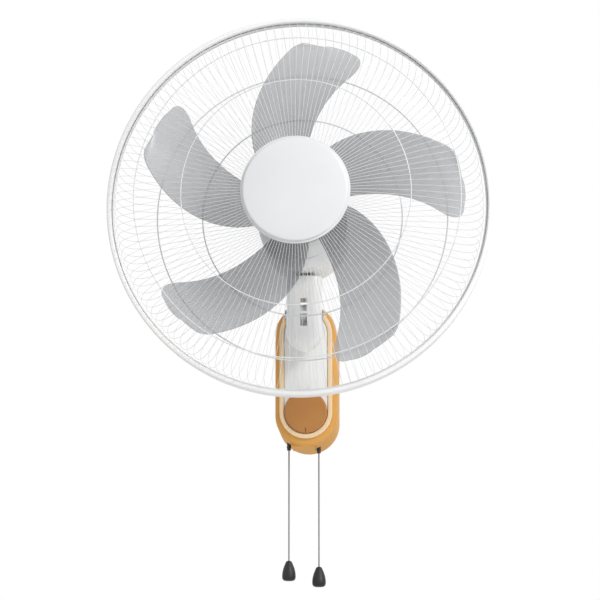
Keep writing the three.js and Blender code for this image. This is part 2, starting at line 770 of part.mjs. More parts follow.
function makeSwivelBracket() {
  const inner = postRadius + gap;
  const outer = inner + sleeveWall;
  const coverFloor = -coverDrop - coverHalfHeight + coverWall;
  const inside = coverHalfWidth - coverWall;
  const sag = (coverHalfHeight - coverWall)
    * (1 - Math.sqrt(1 - (bracketHalfWidth / inside) ** 2));
  const plateBottom = coverFloor + sag + gap;
  const sleeve = upright(rod(outer, sleeveBottomInHead, sleeveTopInHead), 16);
  const plate = block([-bracketHalfWidth, -outer, plateBottom],
    [bracketHalfWidth, uprightBack + uprightDepth, plateBottom + bracketPlate]);
  const post = block([-bracketHalfWidth, uprightBack, plateBottom],
    [bracketHalfWidth, uprightBack + uprightDepth, -statorRadius]);
  const bore = upright(rod(inner, 2 * neckTopInHead, 0), 16);
  const seat = turned(rod(shieldRadius + gap, -coverBack, faceForward), 48);
  piece(head, 'swivel_bracket', cut(join(sleeve, plate, post), bore, seat), castAluminium);
}

// ---- Motor ----------------------------------------------------------------------------------

const pocket = bearingRadius + gap;
const shaftBore = shaftRadius + shaftBoreSlack;
const faceBack = faceForward - faceThickness;
const frontShieldFront = faceBack - gap;
const rearShieldBack = -stackBack - gap - rearShieldDepth;
const frontBearing = frontShieldFront - shieldPlate - bearingWidth;
const rearBearing = rearShieldBack + shieldPlate + gap;
const motorNoseFront = guardSeat + wireWidth + gap + guardNutHeight + noseBeyondGuardNut;

function makeMotor() {
  const coarse = 16;
  const shieldInner = shieldRadius - shieldWall;
  const frontPlate = frontShieldFront - shieldPlate;
  const frontShield = turned([
    [shaftBore, frontPlate + gap], [pocket, frontPlate + gap], [pocket, frontBearing],
    [pocket + shieldWall, frontBearing], [pocket + shieldWall, frontPlate],
    [shieldInner, frontPlate], [shieldInner, stackFront + gap], [shieldRadius, stackFront + gap],
    [shieldRadius, frontShieldFront], [noseOnMotor, frontShieldFront],
    [noseOnMotor, motorNoseFront], [shaftBore, motorNoseFront],
  ], coarse);
  piece(head, 'front_end_shield', frontShield, castAluminium);
  const rearPlate = rearShieldBack + shieldPlate;
  const rearShield = turned([
    [shaftBore, rearShieldBack], [shieldRadius, rearShieldBack], [shieldRadius, -stackBack - gap],
    [shieldInner, -stackBack - gap], [shieldInner, rearPlate], [pocket + shieldWall, rearPlate],
    [pocket + shieldWall, rearBearing + bearingWidth], [pocket, rearBearing + bearingWidth],
    [pocket, rearPlate], [shaftBore, rearPlate],
  ], coarse);
  piece(head, 'rear_end_shield', rearShield, castAluminium);

  piece(head, 'stator_core', turned(ring(statorBore, statorRadius, -stackBack, stackFront), coarse),
    lamination);
  const winding = (from, to) => {
    const outer = statorRadius - windingMargin;
    const inner = statorBore + windingMargin;
    const middle = (outer - inner) / 4;
    return turned([[inner, from], [outer, from], [outer - middle, to], [inner + middle, to]],
      coarse);
  };
  piece(head, 'rear_winding', winding(-stackBack - gap, -stackBack - gap - windingLength), copper);
  piece(head, 'front_winding', winding(stackFront + gap, stackFront + gap + windingLength), copper);
  const rotorOuter = statorBore * Math.cos(Math.PI / coarse) - airGap;
  piece(head, 'rotor_core',
    turned(ring(shaftRadius + gap, rotorOuter, rotorShort - stackBack, stackFront - rotorShort),
      coarse), lamination);
  const bearing = (from) => turned(
    ring(shaftRadius + gap, bearingRadius, from, from + bearingWidth - gap), coarse);
  piece(head, 'front_bearing', bearing(frontBearing + gap), steel);
  piece(head, 'rear_bearing', bearing(rearBearing), steel);
}

const bossBack = bladeForward - hubBack + hubBossDepth;
const drivePinForward = bossBack - drivePinRadius - gap;
const hubFront = bladeForward + hubAhead;
const shaftFront = hubFront + shaftInNut;

function makeShaft() {
  const shaft = turned([
    [0, rearShieldBack - shaftTail], [shaftRadius, rearShieldBack - shaftTail],
    [shaftRadius, shaftFront - shaftTip], [shaftRadius - shaftTip, shaftFront], [0, shaftFront],
  ], 16);
  const slot = crosswise(rod(drivePinRadius + gap, -shaftRadius - over, shaftRadius + over), 10)
    .translate(0, -drivePinForward, 0);
  piece(head, 'motor_shaft', cut(shaft, slot), steel);
  const pin = crosswise(rod(drivePinRadius, -drivePinLength / 2, drivePinLength / 2), 10)
    .translate(0, -drivePinForward, 0);
  piece(head, 'drive_pin', pin, steel);
}

function makeMotorCover() {
  const outline = ellipse(coverHalfWidth, coverHalfHeight, -coverDrop);
  const inner = ellipse(coverHalfWidth - coverWall, coverHalfHeight - coverWall, -coverDrop);
  const front = faceBack - gap;
  const length = coverBack + front;
  const rounded = facing(outline, -coverBack, length + 2 * coverRound,
    { round: coverRound, steps: 3, arc: 14 });
  const ahead = block([-2 * coverHalfWidth, front, -2 * coverHalfHeight],
    [2 * coverHalfWidth, front + 4 * coverRound, 2 * coverHalfHeight]);
  const innerRound = coverRound - coverWall;
  const inside = facing(inner, coverWall - coverBack, length + 2 * coverRound,
    { round: innerRound, steps: 2, arc: 14 });
  const sleeveOuter = postRadius + gap + sleeveWall;
  const way = upright(rod(sleeveOuter + coverHoleSlack, 2 * neckTopInHead, -coverHalfHeight / 2),
    16);
  const screwsAt = [-coverScrewSpread / 2, coverScrewSpread / 2];
  const bosses = screwsAt.map((x) => turned(
    rod(postInner + coverBossWall, -coverBack + coverWall / 2, rearShieldBack - gap), 12)
    .translate(x, 0, 0));
  const bores = screwsAt.flatMap((x) => [
    turned(rod(screwHole, -2 * coverBack, 0), 12).translate(x, 0, 0),
    turned(rod(postInner, -2 * coverBack, -coverBack + coverRound), 12).translate(x, 0, 0),
  ]);
  const shell = cut(rounded, ahead, inside);
  piece(head, 'motor_cover', cut(join(shell, ...bosses), way, ...bores), whitePlastic);

  screwsAt.forEach((x, index) => {
    const seat = -coverBack + coverRound - gap;
    const length = rearShieldBack - gap - seat;
    const reversed = screw(0, length).rotateZ(Math.PI);
    piece(head, ['cover_screw_left', 'cover_screw_right'][index],
      reversed.translate(x, -seat, 0), steel);
  });

  const plate = facing(outline, faceBack, faceThickness, { arc: 14 });
  const hole = turned(rod(noseOnMotor + gap, 0, 2 * faceForward), 20);
  piece(head, 'motor_faceplate', cut(plate, hole), whitePlastic);
}

// ---- Guard ----------------------------------------------------------------------------------

// Stations of a guard from its centre plate to its rim flange, as [radius, height above the
// plate]: almost flat out to the shoulder, then a quarter of an ellipse down to the rim.
function guardStations(plateInner, plateOuter, rings, shoulder, crown, depth, rimInner, rimOuter) {
  const wall = rimInner - wireWidth;
  const flat = (radius) => crown * ((radius - plateOuter) / (shoulder - plateOuter)) ** 2;
  const drop = depth - crown - wireWidth / 2;
  const round = (angle) => [
    shoulder + (wall - shoulder) * Math.sin(angle), crown + drop * (1 - Math.cos(angle))];
  const onFlat = rings.filter((radius) => radius < shoulder - wireWidth);
  const onShoulder = rings.some((radius) => radius >= shoulder - wireWidth);
  const half = wireWidth / 2;
  const stations = [
    { at: [plateInner, 0], ring: true }, { at: [plateOuter, 0], ring: false },
    ...onFlat.flatMap((radius) => [
      { at: [radius - half, flat(radius - half)], ring: true },
      { at: [radius + half, flat(radius + half)], ring: false },
    ]),
    { at: [shoulder - half, flat(shoulder - half)], ring: onShoulder },
    ...(onShoulder ? [{ at: [shoulder + half, crown + half / 2], ring: false }] : []),
    { at: round(quarter / 2), ring: false },
    { at: [wall, depth], ring: false }, { at: [rimInner, depth], ring: true },
    { at: [rimOuter, depth], ring: false },
  ];
  return stations;
}

// Wire guard as one skin: each station has a front and a back point for both sides of every
// wire, a ring joins neighbouring wires, and between rings only the wires run on.
function guardGeometry(stations, facingAhead, plane) {
  const count = stations.length;
  const offsets = stations.map(({ at }, index) => {
    const before = stations[Math.max(index - 1, 0)].at;
    const after = stations[Math.min(index + 1, count - 1)].at;
    const into = new THREE.Vector2(at[0] - before[0], at[1] - before[1]);
    const out = new THREE.Vector2(after[0] - at[0], after[1] - at[1]);
    if (index === 0) into.copy(out);
    if (index === count - 1) out.copy(into);
    const a = into.normalize();
    const b = out.normalize();
    const middle = a.clone().add(b).normalize();
    const stretch = wireWidth / 2 / Math.max(middle.dot(a), 0.5);
    return [-middle.y * stretch, middle.x * stretch];
  });
  const positions = [];
  const sign = facingAhead ? -1 : 1;
  stations.forEach(({ at: [radius, height] }, index) => {
    const [dr, dh] = offsets[index];
    for (const face of [1, -1]) {
      const r = radius + face * dr;
      const forward = plane + sign * (height + face * dh);
      const halfAngle = Math.asin(wireWidth / 2 / r);
      for (let wire = 0; wire < wireCount; wire += 1) {
        const middle = (2 * Math.PI * (wire + 0.5)) / wireCount;
        for (const edge of [-halfAngle, halfAngle]) {
          positions.push(r * Math.cos(middle + edge), -forward, r * Math.sin(middle + edge));
        }
      }
    }
  });
  const around = 2 * wireCount;
  const vertex = (station, face, step) => (
    (station * 2 + face) * around + ((step % around) + around) % around);
  const corners = [];
  const quad = (a, b, c, d) => {
    if (facingAhead) corners.push(a, c, b, a, d, c);
    else corners.push(a, b, c, a, c, d);
  };
  const filled = (station, step) => {
    if (station < 0 || station >= count - 1) return false;
    const onWire = ((step % around) + around) % 2 === 0;
    return onWire || stations[station].ring;
  };
  for (let station = 0; station < count - 1; station += 1) {
    for (let step = 0; step < around; step += 1) {
      if (!filled(station, step)) continue;
      const [s, n] = [station, station + 1];
      quad(vertex(s, 0, step), vertex(n, 0, step), vertex(n, 0, step + 1), vertex(s, 0, step + 1));
      quad(vertex(s, 1, step), vertex(s, 1, step + 1), vertex(n, 1, step + 1), vertex(n, 1, step));
      if (!filled(station - 1, step)) {
        quad(vertex(s, 0, step), vertex(s, 0, step + 1), vertex(s, 1, step + 1),
          vertex(s, 1, step));
      }
      if (!filled(station + 1, step)) {
        quad(vertex(n, 0, step), vertex(n, 1, step), vertex(n, 1, step + 1),
          vertex(n, 0, step + 1));
      }
      if (!filled(station, step - 1)) {
        quad(vertex(s, 0, step), vertex(s, 1, step), vertex(n, 1, step), vertex(n, 0, step));
      }
      if (!filled(station, step + 1)) {
        quad(vertex(s, 0, step + 1), vertex(n, 0, step + 1), vertex(n, 1, step + 1),
          vertex(s, 1, step + 1));
      }
    }
  }
  const geometry = new THREE.BufferGeometry();
  geometry.setAttribute('position', new THREE.Float32BufferAttribute(positions, 3));
  geometry.setIndex(corners);
  geometry.computeVertexNormals();
  return geometry;
}

const flangeOuter = rimRadius - rimWall - 2 * gap;
const flangeInner = flangeOuter - flangeWidth;

function makeGuard() {
  const half = wireWidth / 2;
  const rearFlange = rimForward - half - gap / 2;
  const frontFlange = rimForward + half + gap / 2;
  const rearPlate = guardSeat + half;
  const rearRings = [rearInnerRing, rearOuterRing];
  const rear = guardStations(noseOnMotor + gap, rearPlateRadius, rearRings, rearShoulder,
    rearCrown, rearFlange - rearPlate, flangeInner, flangeOuter);
  piece(head, 'rear_guard', guardGeometry(rear, false, rearPlate), whiteWire);
  const frontRings = [frontInnerRing, frontShoulder];
  const front = guardStations(frontPlateInner, frontPlateOuter, frontRings, frontShoulder,
    frontCrown, badgePlate - frontFlange, flangeInner, flangeOuter);
  piece(head, 'front_guard', guardGeometry(front, true, badgePlate), whiteWire);

  const [outer, wall] = [rimRadius, rimRadius - rimWall];
  const [back, ahead] = [rimForward - rimWidth / 2, rimForward + rimWidth / 2];
  const lipInner = flangeInner + flangeWidth / 2;
  const groove = wireWidth + 1.5 * gap;
  const band = turned([
    [lipInner, rimForward - groove - rimLip], [outer - rimEdge, back], [outer, back + rimEdge],
    [outer, ahead - rimEdge], [outer - rimEdge, ahead], [lipInner, rimForward + groove + rimLip],
    [lipInner, rimForward + groove], [wall, rimForward + groove], [wall, rimForward - groove],
    [lipInner, rimForward - groove],
  ], 2 * wireCount);
  piece(head, 'guard_rim_band', band, whitePlastic);

  const nutBack = guardSeat + wireWidth + gap;
  const nutFront = nutBack + guardNutHeight;
  const nutBody = turned(ring(noseOnMotor + gap, guardNutRadius, nutBack, nutFront), 24);
  const grips = Array.from({ length: guardNutGrips }, (_, index) => {
    const angle = (2 * Math.PI * index) / guardNutGrips;
    return turned(rod(guardNutGripRadius, nutBack - over, nutFront + over), 5)
      .translate(guardNutRadius * Math.cos(angle), 0, guardNutRadius * Math.sin(angle));
  });
  piece(head, 'guard_nut', cut(nutBody, ...grips), blackPlastic);

  const badgeBack = badgePlate + half + gap;
  const domed = (share) => [
    badgeRadius * share, badgeBack + badgeEdge + badgeCrown * (1 - share ** 2)];
  const badge = turned([
    [0, badgeBack], [badgeRadius - badgeBackEdge, badgeBack],
    [badgeRadius, badgeBack + badgeBackEdge], ...[1, 0.9, 0.65, 0.35, 0].map(domed),
  ], 30);
  piece(head, 'badge', badge, whitePlastic);
}

// ---- Blades ---------------------------------------------------------------------------------

// Where a blade's edges stand at a radius, as angles counted anticlockwise seen from the front
function bladeEdges(radius) {
  const along = (radius - hubRadius) / (tipRadius - hubRadius);
  const corner = (size) => {
    const into = Math.max(0, (radius - tipRadius + size) / size);
    return (size * (1 - Math.sqrt(1 - Math.min(into, 1) ** 2))) / radius;
  };
  const lead = degrees(rootLead - leadSweep * along * (1 + 1.7 * along) / 2.7)
    + corner(leadCorner);
  const trail = degrees(rootTrail - trailSweep * along) - corner(trailCorner);
  return [lead, trail];
}

function bladeGeometry() {
  const root = hubRadius - hubWall / 2;
  const shares = [0, 0.25, 0.5, 0.75, 0.89, 0.96, 1];
  const chord = [0, 0.2, 0.5, 0.8, 1];
  const positions = [];
  for (const side of [1, -1]) {
    for (const share of shares) {
      const radius = root + (tipRadius - root) * share;
      const [lead, trail] = bladeEdges(radius);
      const pitch = rootPitchHeight + (tipPitchHeight - rootPitchHeight) * share;
      for (const along of chord) {
        const angle = lead + (trail - lead) * along;
        const sag = bladeCamber * 4 * along * (1 - along);
        const forward = bladeForward + pitch * (along - 0.5) - sag + (side * bladeThickness) / 2;
        positions.push(radius * Math.cos(angle), -forward, radius * Math.sin(angle));
      }
    }
  }
  const [rows, columns] = [shares.length, chord.length];
  const vertex = (side, row, column) => (side * rows + row) * columns + column;
  const corners = [];
  const quad = (a, b, c, d) => corners.push(a, b, c, a, c, d);
  for (let row = 0; row < rows - 1; row += 1) {
    for (let column = 0; column < columns - 1; column += 1) {
      const square = (side) => [vertex(side, row, column), vertex(side, row + 1, column),
        vertex(side, row + 1, column + 1), vertex(side, row, column + 1)];
      quad(...square(0));
      quad(...square(1).reverse());
    }
  }
  const edge = (from, to) => {
    const [a, b] = [from, to].map(([row, column]) => [vertex(0, row, column),
      vertex(1, row, column)]);
    quad(b[0], a[0], a[1], b[1]);
  };
  for (let row = 0; row < rows - 1; row += 1) {
    edge([row, 0], [row + 1, 0]);
    edge([row + 1, columns - 1], [row, columns - 1]);
  }
  for (let column = 0; column < columns - 1; column += 1) {
    edge([rows - 1, column], [rows - 1, column + 1]);
    edge([0, column + 1], [0, column]);
  }
  const geometry = new THREE.BufferGeometry();
  geometry.setAttribute('position', new THREE.Float32BufferAttribute(positions, 3));
  geometry.setIndex(corners);
  return geometry;
}

function makeBlades() {
  const hubRear = bladeForward - hubBack;
  const boss = shaftRadius + gap + hubBossWall;
  const hub = turned([
    [shaftRadius + gap, bossBack], [boss, bossBack], [boss, hubFront - hubWall],
    [hubRadius - hubWall, hubFront - hubWall - hubEdge], [hubRadius - hubWall, hubRear],
    [hubRadius, hubRear], [hubRadius, hubFront - hubEdge], [hubRadius - hubEdge, hubFront],
    [shaftRadius + gap, hubFront],
  ], 25);
  const blade = bladeGeometry();
  const blades = Array.from({ length: bladeCount }, (_, index) => (
    blade.clone().rotateY((-2 * Math.PI * index) / bladeCount)));
  piece(head, 'fan_blades', join(hub, ...blades), greyBlade);

  const nutBack = hubFront + gap;
  const threadEnd = shaftFront + gap;
  const nut = turned([
    [shaftRadius + gap, nutBack], [bladeNutRadius, nutBack],
    [bladeNutRadius, nutBack + bladeNutSkirt],
    ...bladeNutNose.map(([across, up]) => [bladeNutRadius * across, nutBack + bladeNutHeight * up]),
    [0, nutBack + bladeNutHeight], [0, threadEnd], [shaftRadius + gap, threadEnd],
  ], 16);
  piece(head, 'blade_nut', nut, blackPlastic);
}

makeBracket();
makeInletGrommet();
makeHousing();
makeBaseScrews();
makeFront();
makeElectrics();
makePullSwitch('left', leftCordX, leftCordLength, 'speed_switch', 'speed_drum');
makePullSwitch('right', rightCordX, rightCordLength, 'swing_switch', 'swing_drum');
makeArm();
makeTiltBolt();
makeNeck();
makeSwivelPost();
makeSwivelBracket();
makeSwingDrive();
makeMotor();
makeShaft();
makeMotorCover();
makeGuard();
makeBlades();

export default fan;
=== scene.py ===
import math

import bmesh
import bpy
from mathutils import Matrix, Vector


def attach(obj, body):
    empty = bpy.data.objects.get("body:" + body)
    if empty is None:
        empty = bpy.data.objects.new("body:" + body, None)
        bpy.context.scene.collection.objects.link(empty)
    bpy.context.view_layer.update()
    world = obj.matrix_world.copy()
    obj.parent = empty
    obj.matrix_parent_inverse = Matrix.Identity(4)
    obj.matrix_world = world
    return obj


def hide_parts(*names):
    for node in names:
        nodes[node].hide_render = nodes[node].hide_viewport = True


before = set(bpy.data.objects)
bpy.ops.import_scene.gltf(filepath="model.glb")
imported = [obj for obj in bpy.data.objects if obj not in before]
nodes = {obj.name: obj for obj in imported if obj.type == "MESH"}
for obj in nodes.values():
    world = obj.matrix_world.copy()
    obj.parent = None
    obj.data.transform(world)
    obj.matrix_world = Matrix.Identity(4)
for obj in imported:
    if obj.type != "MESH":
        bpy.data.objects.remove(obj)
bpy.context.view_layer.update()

# Looks of the wall mounted fan. Sizes below are in millimetres and MM turns them into metres.
# "Out" is the distance from the wall, so y = -out; "up" is z.

MM = 0.001
FAN_UP = 173  # the fan's axis
FAN_CENTRE = (0, 0, FAN_UP)
SWIVEL_OUT = 108  # tilt and swivel axes
TILT_UP = 66
RIM_OUT = 215
CORD_OUT = 40


def at(x, out, up):
    return Vector((x, -out, up)) * MM


# ---- Camera ---------------------------------------------------------------------------------

def make_camera():
    azimuth, elevation, distance = math.radians(3.2), math.radians(-11), 3.5
    target = at(-4.6, 120, 81.4)
    away = Vector((math.sin(azimuth) * math.cos(elevation),
                   -math.cos(azimuth) * math.cos(elevation), math.sin(elevation)))
    data = bpy.data.cameras.new("photo_camera")
    data.sensor_width = 36
    data.lens = 178.7
    data.clip_end = 50
    camera = bpy.data.objects.new("photo_camera", data)
    camera.location = target + away * distance
    camera.rotation_euler = (-away).to_track_quat("-Z", "Y").to_euler()
    bpy.context.scene.collection.objects.link(camera)
    bpy.context.scene.camera = camera


make_camera()

# ---- Finishes -------------------------------------------------------------------------------


def shade(code):
    """Linear colour of a hex code."""
    parts = [int(code[i:i + 2], 16) / 255 for i in (1, 3, 5)]
    return [p / 12.92 if p <= 0.04045 else ((p + 0.055) / 1.055) ** 2.4 for p in parts] + [1]


SOCKETS = {"alpha": "Alpha", "metallic": "Metallic", "roughness": "Roughness",
           "coat_weight": "Coat Weight", "coat_roughness": "Coat Roughness",
           "sheen_weight": "Sheen Weight", "specular_level": "Specular IOR Level"}


class Finish:
    """A Principled material whose colour, roughness and relief come from patterns in the
    piece's own coordinates."""

    def __init__(self, name, **constants):
        self.material = bpy.data.materials.new(name)
        self.material.use_nodes = True
        self.tree = self.material.node_tree
        self.shader = self.tree.nodes["Principled BSDF"]
        for socket, value in constants.items():
            self.shader.inputs[SOCKETS[socket]].default_value = value
        self.height = None

    def node(self, kind, **settings):
        made = self.tree.nodes.new(kind)
        for key, value in settings.items():
            if key in made.inputs:
                made.inputs[key].default_value = value
            else:
                setattr(made, key, value)
        return made

    def link(self, source, target):
        self.tree.links.new(source, target)

    def place(self, stretch=(1, 1, 1), centre=(0, 0, 0)):
        """The piece's own coordinates, stretched about a centre."""
        coordinates = self.node("ShaderNodeTexCoord")
        mapping = self.node("ShaderNodeMapping")
        mapping.inputs["Scale"].default_value = stretch
        mapping.inputs["Location"].default_value = [-c * s for c, s in zip(centre, stretch)]
        self.link(coordinates.outputs["Object"], mapping.inputs["Vector"])
        return mapping.outputs["Vector"]

    def noise(self, scale, detail=2.0, **where):
        made = self.node("ShaderNodeTexNoise", Scale=scale, Detail=detail)
        self.link(self.place(**where), made.inputs["Vector"])
        return made.outputs["Fac"]

    def ripple(self, scale, kind="RINGS", direction="Y", distortion=0.0, **where):
        made = self.node("ShaderNodeTexWave", wave_type=kind, Scale=scale, Distortion=distortion)
        if kind == "RINGS":
            made.rings_direction = direction
        else:
            made.bands_direction = direction
        self.link(self.place(**where), made.inputs["Vector"])
        return made.outputs["Fac"]

    def cells(self, scale, **where):
        made = self.node("ShaderNodeTexVoronoi", Scale=scale)
        self.link(self.place(**where), made.inputs["Vector"])
        return made.outputs["Distance"]

    def spread(self, factor, low, high, start=0.3, end=0.7):
        """A pattern's values from start to end, drawn out to low to high."""
        ends = {"From Min": start, "From Max": end, "To Min": low, "To Max": high}
        made = self.node("ShaderNodeMapRange", **ends)
        self.link(factor, made.inputs["Value"])
        return made.outputs["Result"]

    def mixed(self, factor, first, second):
        """Two colours mixed, each a hex code or another node's output."""
        made = self.node("ShaderNodeMix", data_type="RGBA")
        self.link(factor, made.inputs["Factor"])
        for socket, value in ((6, first), (7, second)):
            if isinstance(value, str):
                made.inputs[socket].default_value = shade(value)
            else:
                self.link(value, made.inputs[socket])
        return made.outputs[2]

    def colour(self, factor, first, second, start=0.3, end=0.7):
        self.link(self.mixed(self.spread(factor, 0, 1, start, end), first, second),
                  self.shader.inputs["Base Color"])
        return self

    def roughness(self, factor, low, high):
        self.link(self.spread(factor, low, high), self.shader.inputs["Roughness"])
        return self

    def relief(self, factor, depth, strength=1.0):
        """Adds a height of depth millimetres to what the surface already has."""
        bump = self.node("ShaderNodeBump", Strength=strength, Distance=depth * MM)
        self.link(factor, bump.inputs["Height"])
        if self.height is not None:
            self.link(self.height, bump.inputs["Normal"])
        self.height = bump.outputs["Normal"]
        self.link(self.height, self.shader.inputs["Normal"])
        return self


def moulded(name, first, second, rough, grain=1500, depth=0.02, cloud=14, **constants):
    """Moulded plastic: a fine spark-worn grain, slow clouding of the colour and of the gloss."""
    finish = Finish(name, **constants)
    finish.colour(finish.noise(cloud, 3), first, second)
    finish.roughness(finish.noise(60, 4), *rough)
    finish.relief(finish.noise(grain, 2), depth)
    return finish.material


white_moulding = moulded("white_moulding", "#eeefef", "#f4f4f3", (0.28, 0.38), coat_weight=0.15)
pearl_moulding = moulded("pearl_moulding", "#dfe1e3", "#e5e7e8", (0.3, 0.36), grain=2200,
                         depth=0.01, coat_weight=0.1, coat_roughness=0.3)
honey_moulding = moulded("honey_moulding", "#dca356", "#e5ae62", (0.5, 0.6),
                         specular_level=0.1)
cream_moulding = moulded("cream_moulding", "#f3d4a8", "#f7dcb4", (0.3, 0.38), coat_weight=0.1)
brown_moulding = moulded("brown_moulding", "#b37634", "#bf8341", (0.32, 0.4), coat_weight=0.1)
black_moulding = moulded("black_moulding", "#242526", "#2e2f30", (0.35, 0.5), grain=1100,
                         depth=0.04)
knob_moulding = moulded("knob_moulding", "#121313", "#1a1b1b", (0.42, 0.54), grain=1300,
                        depth=0.03)
dark_rubber = moulded("dark_rubber", "#202020", "#2a2a2a", (0.7, 0.85), grain=900, depth=0.06)
inner_plastic = moulded("inner_plastic", "#d8cdb8", "#e2d8c4", (0.4, 0.5))


def make_powder_coat():
    finish = Finish("powder_coat", coat_weight=0.2, coat_roughness=0.2)
    finish.colour(finish.noise(30, 2), "#dcddde", "#e5e6e6")
    finish.roughness(finish.noise(90, 3), 0.36, 0.46)
    finish.relief(finish.noise(700, 2), 0.03)
    return finish.material


def make_smoke_plastic():
    """See-through grey, with painted shade that darkens it towards the hub."""
    finish = Finish("smoke_plastic", alpha=0.53, coat_weight=0.1, coat_roughness=0.3)
    # Painted shade: a spherical ramp about the hub darkens the grey near the hub, where the hub
    # and motor behind the blades lie in shadow.
    hub_shade_ramp = finish.node("ShaderNodeTexGradient", gradient_type="SPHERICAL")
    finish.link(finish.place(stretch=(5, 5, 5), centre=at(0, 224, FAN_UP)), hub_shade_ramp.inputs["Vector"])
    # The deeper grey pair is the painted shade near the hub; the paler pair is the blades' own
    # grey towards the tips.
    hub_shade_grey = finish.mixed(finish.spread(finish.noise(9, 2), 0, 1), "#83868a", "#8b8e91")
    pale = finish.mixed(finish.spread(finish.noise(9, 2), 0, 1), "#b2b5b8", "#bbbdc0")
    finish.link(finish.mixed(finish.spread(hub_shade_ramp.outputs["Fac"], 1, 0, 0.05, 0.6), hub_shade_grey, pale),
                finish.shader.inputs["Base Color"])
    finish.roughness(finish.noise(50, 3), 0.22, 0.32)
    finish.relief(finish.noise(16, 2), 0.2, 0.3)
    return finish.material


def make_braid():
    finish = Finish("cord_braid", roughness=0.8, sheen_weight=0.3)
    weave = finish.ripple(700, kind="BANDS", direction="DIAGONAL", stretch=(1, 1, 0.7))
    finish.colour(weave, "#7d7e80", "#a2a3a5", 0.2, 0.8)
    finish.relief(weave, 0.15)
    return finish.material


def metal(name, first, second, rough, grain, depth=0.02, stretch=(1, 1, 1)):
    finish = Finish(name, metallic=1)
    finish.colour(finish.noise(grain, 3, stretch=stretch), first, second)
    finish.roughness(finish.noise(grain / 4, 4), *rough)
    finish.relief(finish.noise(grain, 2, stretch=stretch), depth)
    return finish.material


def make_zinc_sheet():
    """Galvanised sheet: spangled crystals in slightly different greys."""
    finish = Finish("zinc_sheet", metallic=1)
    finish.colour(finish.cells(160), "#b4b8bc", "#cdd0d3", 0.1, 0.9)
    finish.roughness(finish.noise(120, 3), 0.32, 0.46)
    finish.relief(finish.noise(500, 2), 0.02)
    return finish.material


def make_laminations():
    finish = Finish("laminations", metallic=0.9, roughness=0.5)
    sheets = finish.ripple(320, kind="BANDS", direction="Y")
    finish.colour(sheets, "#707276", "#9a9c9f", 0.2, 0.8)
    finish.relief(sheets, 0.1)
    return finish.material


def make_winding():
    finish = Finish("varnished_winding", metallic=0.7, coat_weight=0.6)
    threads = finish.ripple(260, direction="Y", distortion=1.0, centre=at(0, 0, FAN_UP))
    finish.colour(threads, "#7c3d1c", "#c0713c", 0.2, 0.8)
    finish.roughness(finish.noise(200, 2), 0.3, 0.45)
    finish.relief(threads, 0.25)
    return finish.material


powder_coat = make_powder_coat()
smoke_plastic = make_smoke_plastic()
cord_braid = make_braid()
zinc_sheet = make_zinc_sheet()
laminations = make_laminations()
varnished_winding = make_winding()
bright_steel = metal("bright_steel", "#b5b8bb", "#c8cacc", (0.22, 0.34), 400,
                     stretch=(1, 0.05, 1))
cast_alloy = metal("cast_alloy", "#a6a9ac", "#bcbfc1", (0.42, 0.58), 240, 0.08)
yellow_brass = metal("yellow_brass", "#b8923f", "#cfa952", (0.28, 0.4), 300)

# ---- Making pieces --------------------------------------------------------------------------

ACROSS_AND_ALONG = {
    "fan": (Vector((1, 0, 0)), Vector((0, -1, 0))),
    "upright": (Vector((1, 0, 0)), Vector((0, 0, 1))),
    "level": (Vector((0, 0, 1)), Vector((1, 0, 0))),
}


def piece(name, bm, finish, body, slot, *stands_for, sharp=35):
    """The bmesh as a named piece that rides on a body and stands for CAD nodes."""
    mesh = bpy.data.meshes.new(name)
    bm.to_mesh(mesh)
    bm.free()
    mesh.shade_smooth()
    mesh.set_sharp_from_angle(angle=math.radians(sharp))
    mesh.materials.append(finish)
    made = bpy.data.objects.new(name, mesh)
    bpy.context.scene.collection.objects.link(made)
    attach(made, body)
    if stands_for:
        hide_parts(*stands_for)
    return made


def full_turn(bm, axis, steps):
    """Spins everything once round an axis through the origin and joins it up."""
    bmesh.ops.spin(bm, geom=bm.verts[:] + bm.edges[:], cent=(0, 0, 0), axis=axis,
                   dvec=(0, 0, 0), angle=2 * math.pi, steps=steps, use_merge=True,
                   use_normal_flip=False, use_duplicate=False)


def turned(profile, axis="fan", centre=(0, 0, 0), segments=96, soften=0.0, steps=4, bm=None):
    """Round shape from [radius, along] corners, closed on itself when both ends are off the
    axis. Soften rounds every corner of the profile."""
    across, along = ACROSS_AND_ALONG[axis]
    made = bmesh.new()
    corners = [made.verts.new((across * r + along * a) * MM) for r, a in profile]
    for first, second in zip(corners, corners[1:]):
        made.edges.new((first, second))
    if profile[0][0] > 0 and profile[-1][0] > 0:
        made.edges.new((corners[-1], corners[0]))
    if soften:
        bends = [v for v in made.verts if len(v.link_edges) == 2]
        bmesh.ops.bevel(made, geom=bends, offset=soften * MM, offset_type="OFFSET",
                        segments=steps, profile=0.5, affect="VERTICES", material=-1,
                        clamp_overlap=True)
    full_turn(made, along, segments)
    bmesh.ops.remove_doubles(made, verts=made.verts[:], dist=1e-6)
    bmesh.ops.recalc_face_normals(made, faces=made.faces[:])
    bmesh.ops.translate(made, verts=made.verts[:], vec=Vector(centre) * MM)
    return joined(bm, made) if bm else made


def joined(bm, other):
    """Adds one bmesh to another."""
    mesh = bpy.data.meshes.new("passing")
    other.to_mesh(mesh)
    other.free()
    bm.from_mesh(mesh)
    bpy.data.meshes.remove(mesh)
    return bm


def repeated(bm, count):
    """Repeats everything evenly all the way round the fan's axis."""
    bmesh.ops.spin(bm, geom=bm.verts[:] + bm.edges[:] + bm.faces[:],
                   cent=Vector(FAN_CENTRE) * MM, axis=(0, -1, 0), dvec=(0, 0, 0),
                   angle=2 * math.pi * (count - 1) / count, steps=count - 1, use_merge=False,
                   use_normal_flip=False, use_duplicate=True)
    return bm


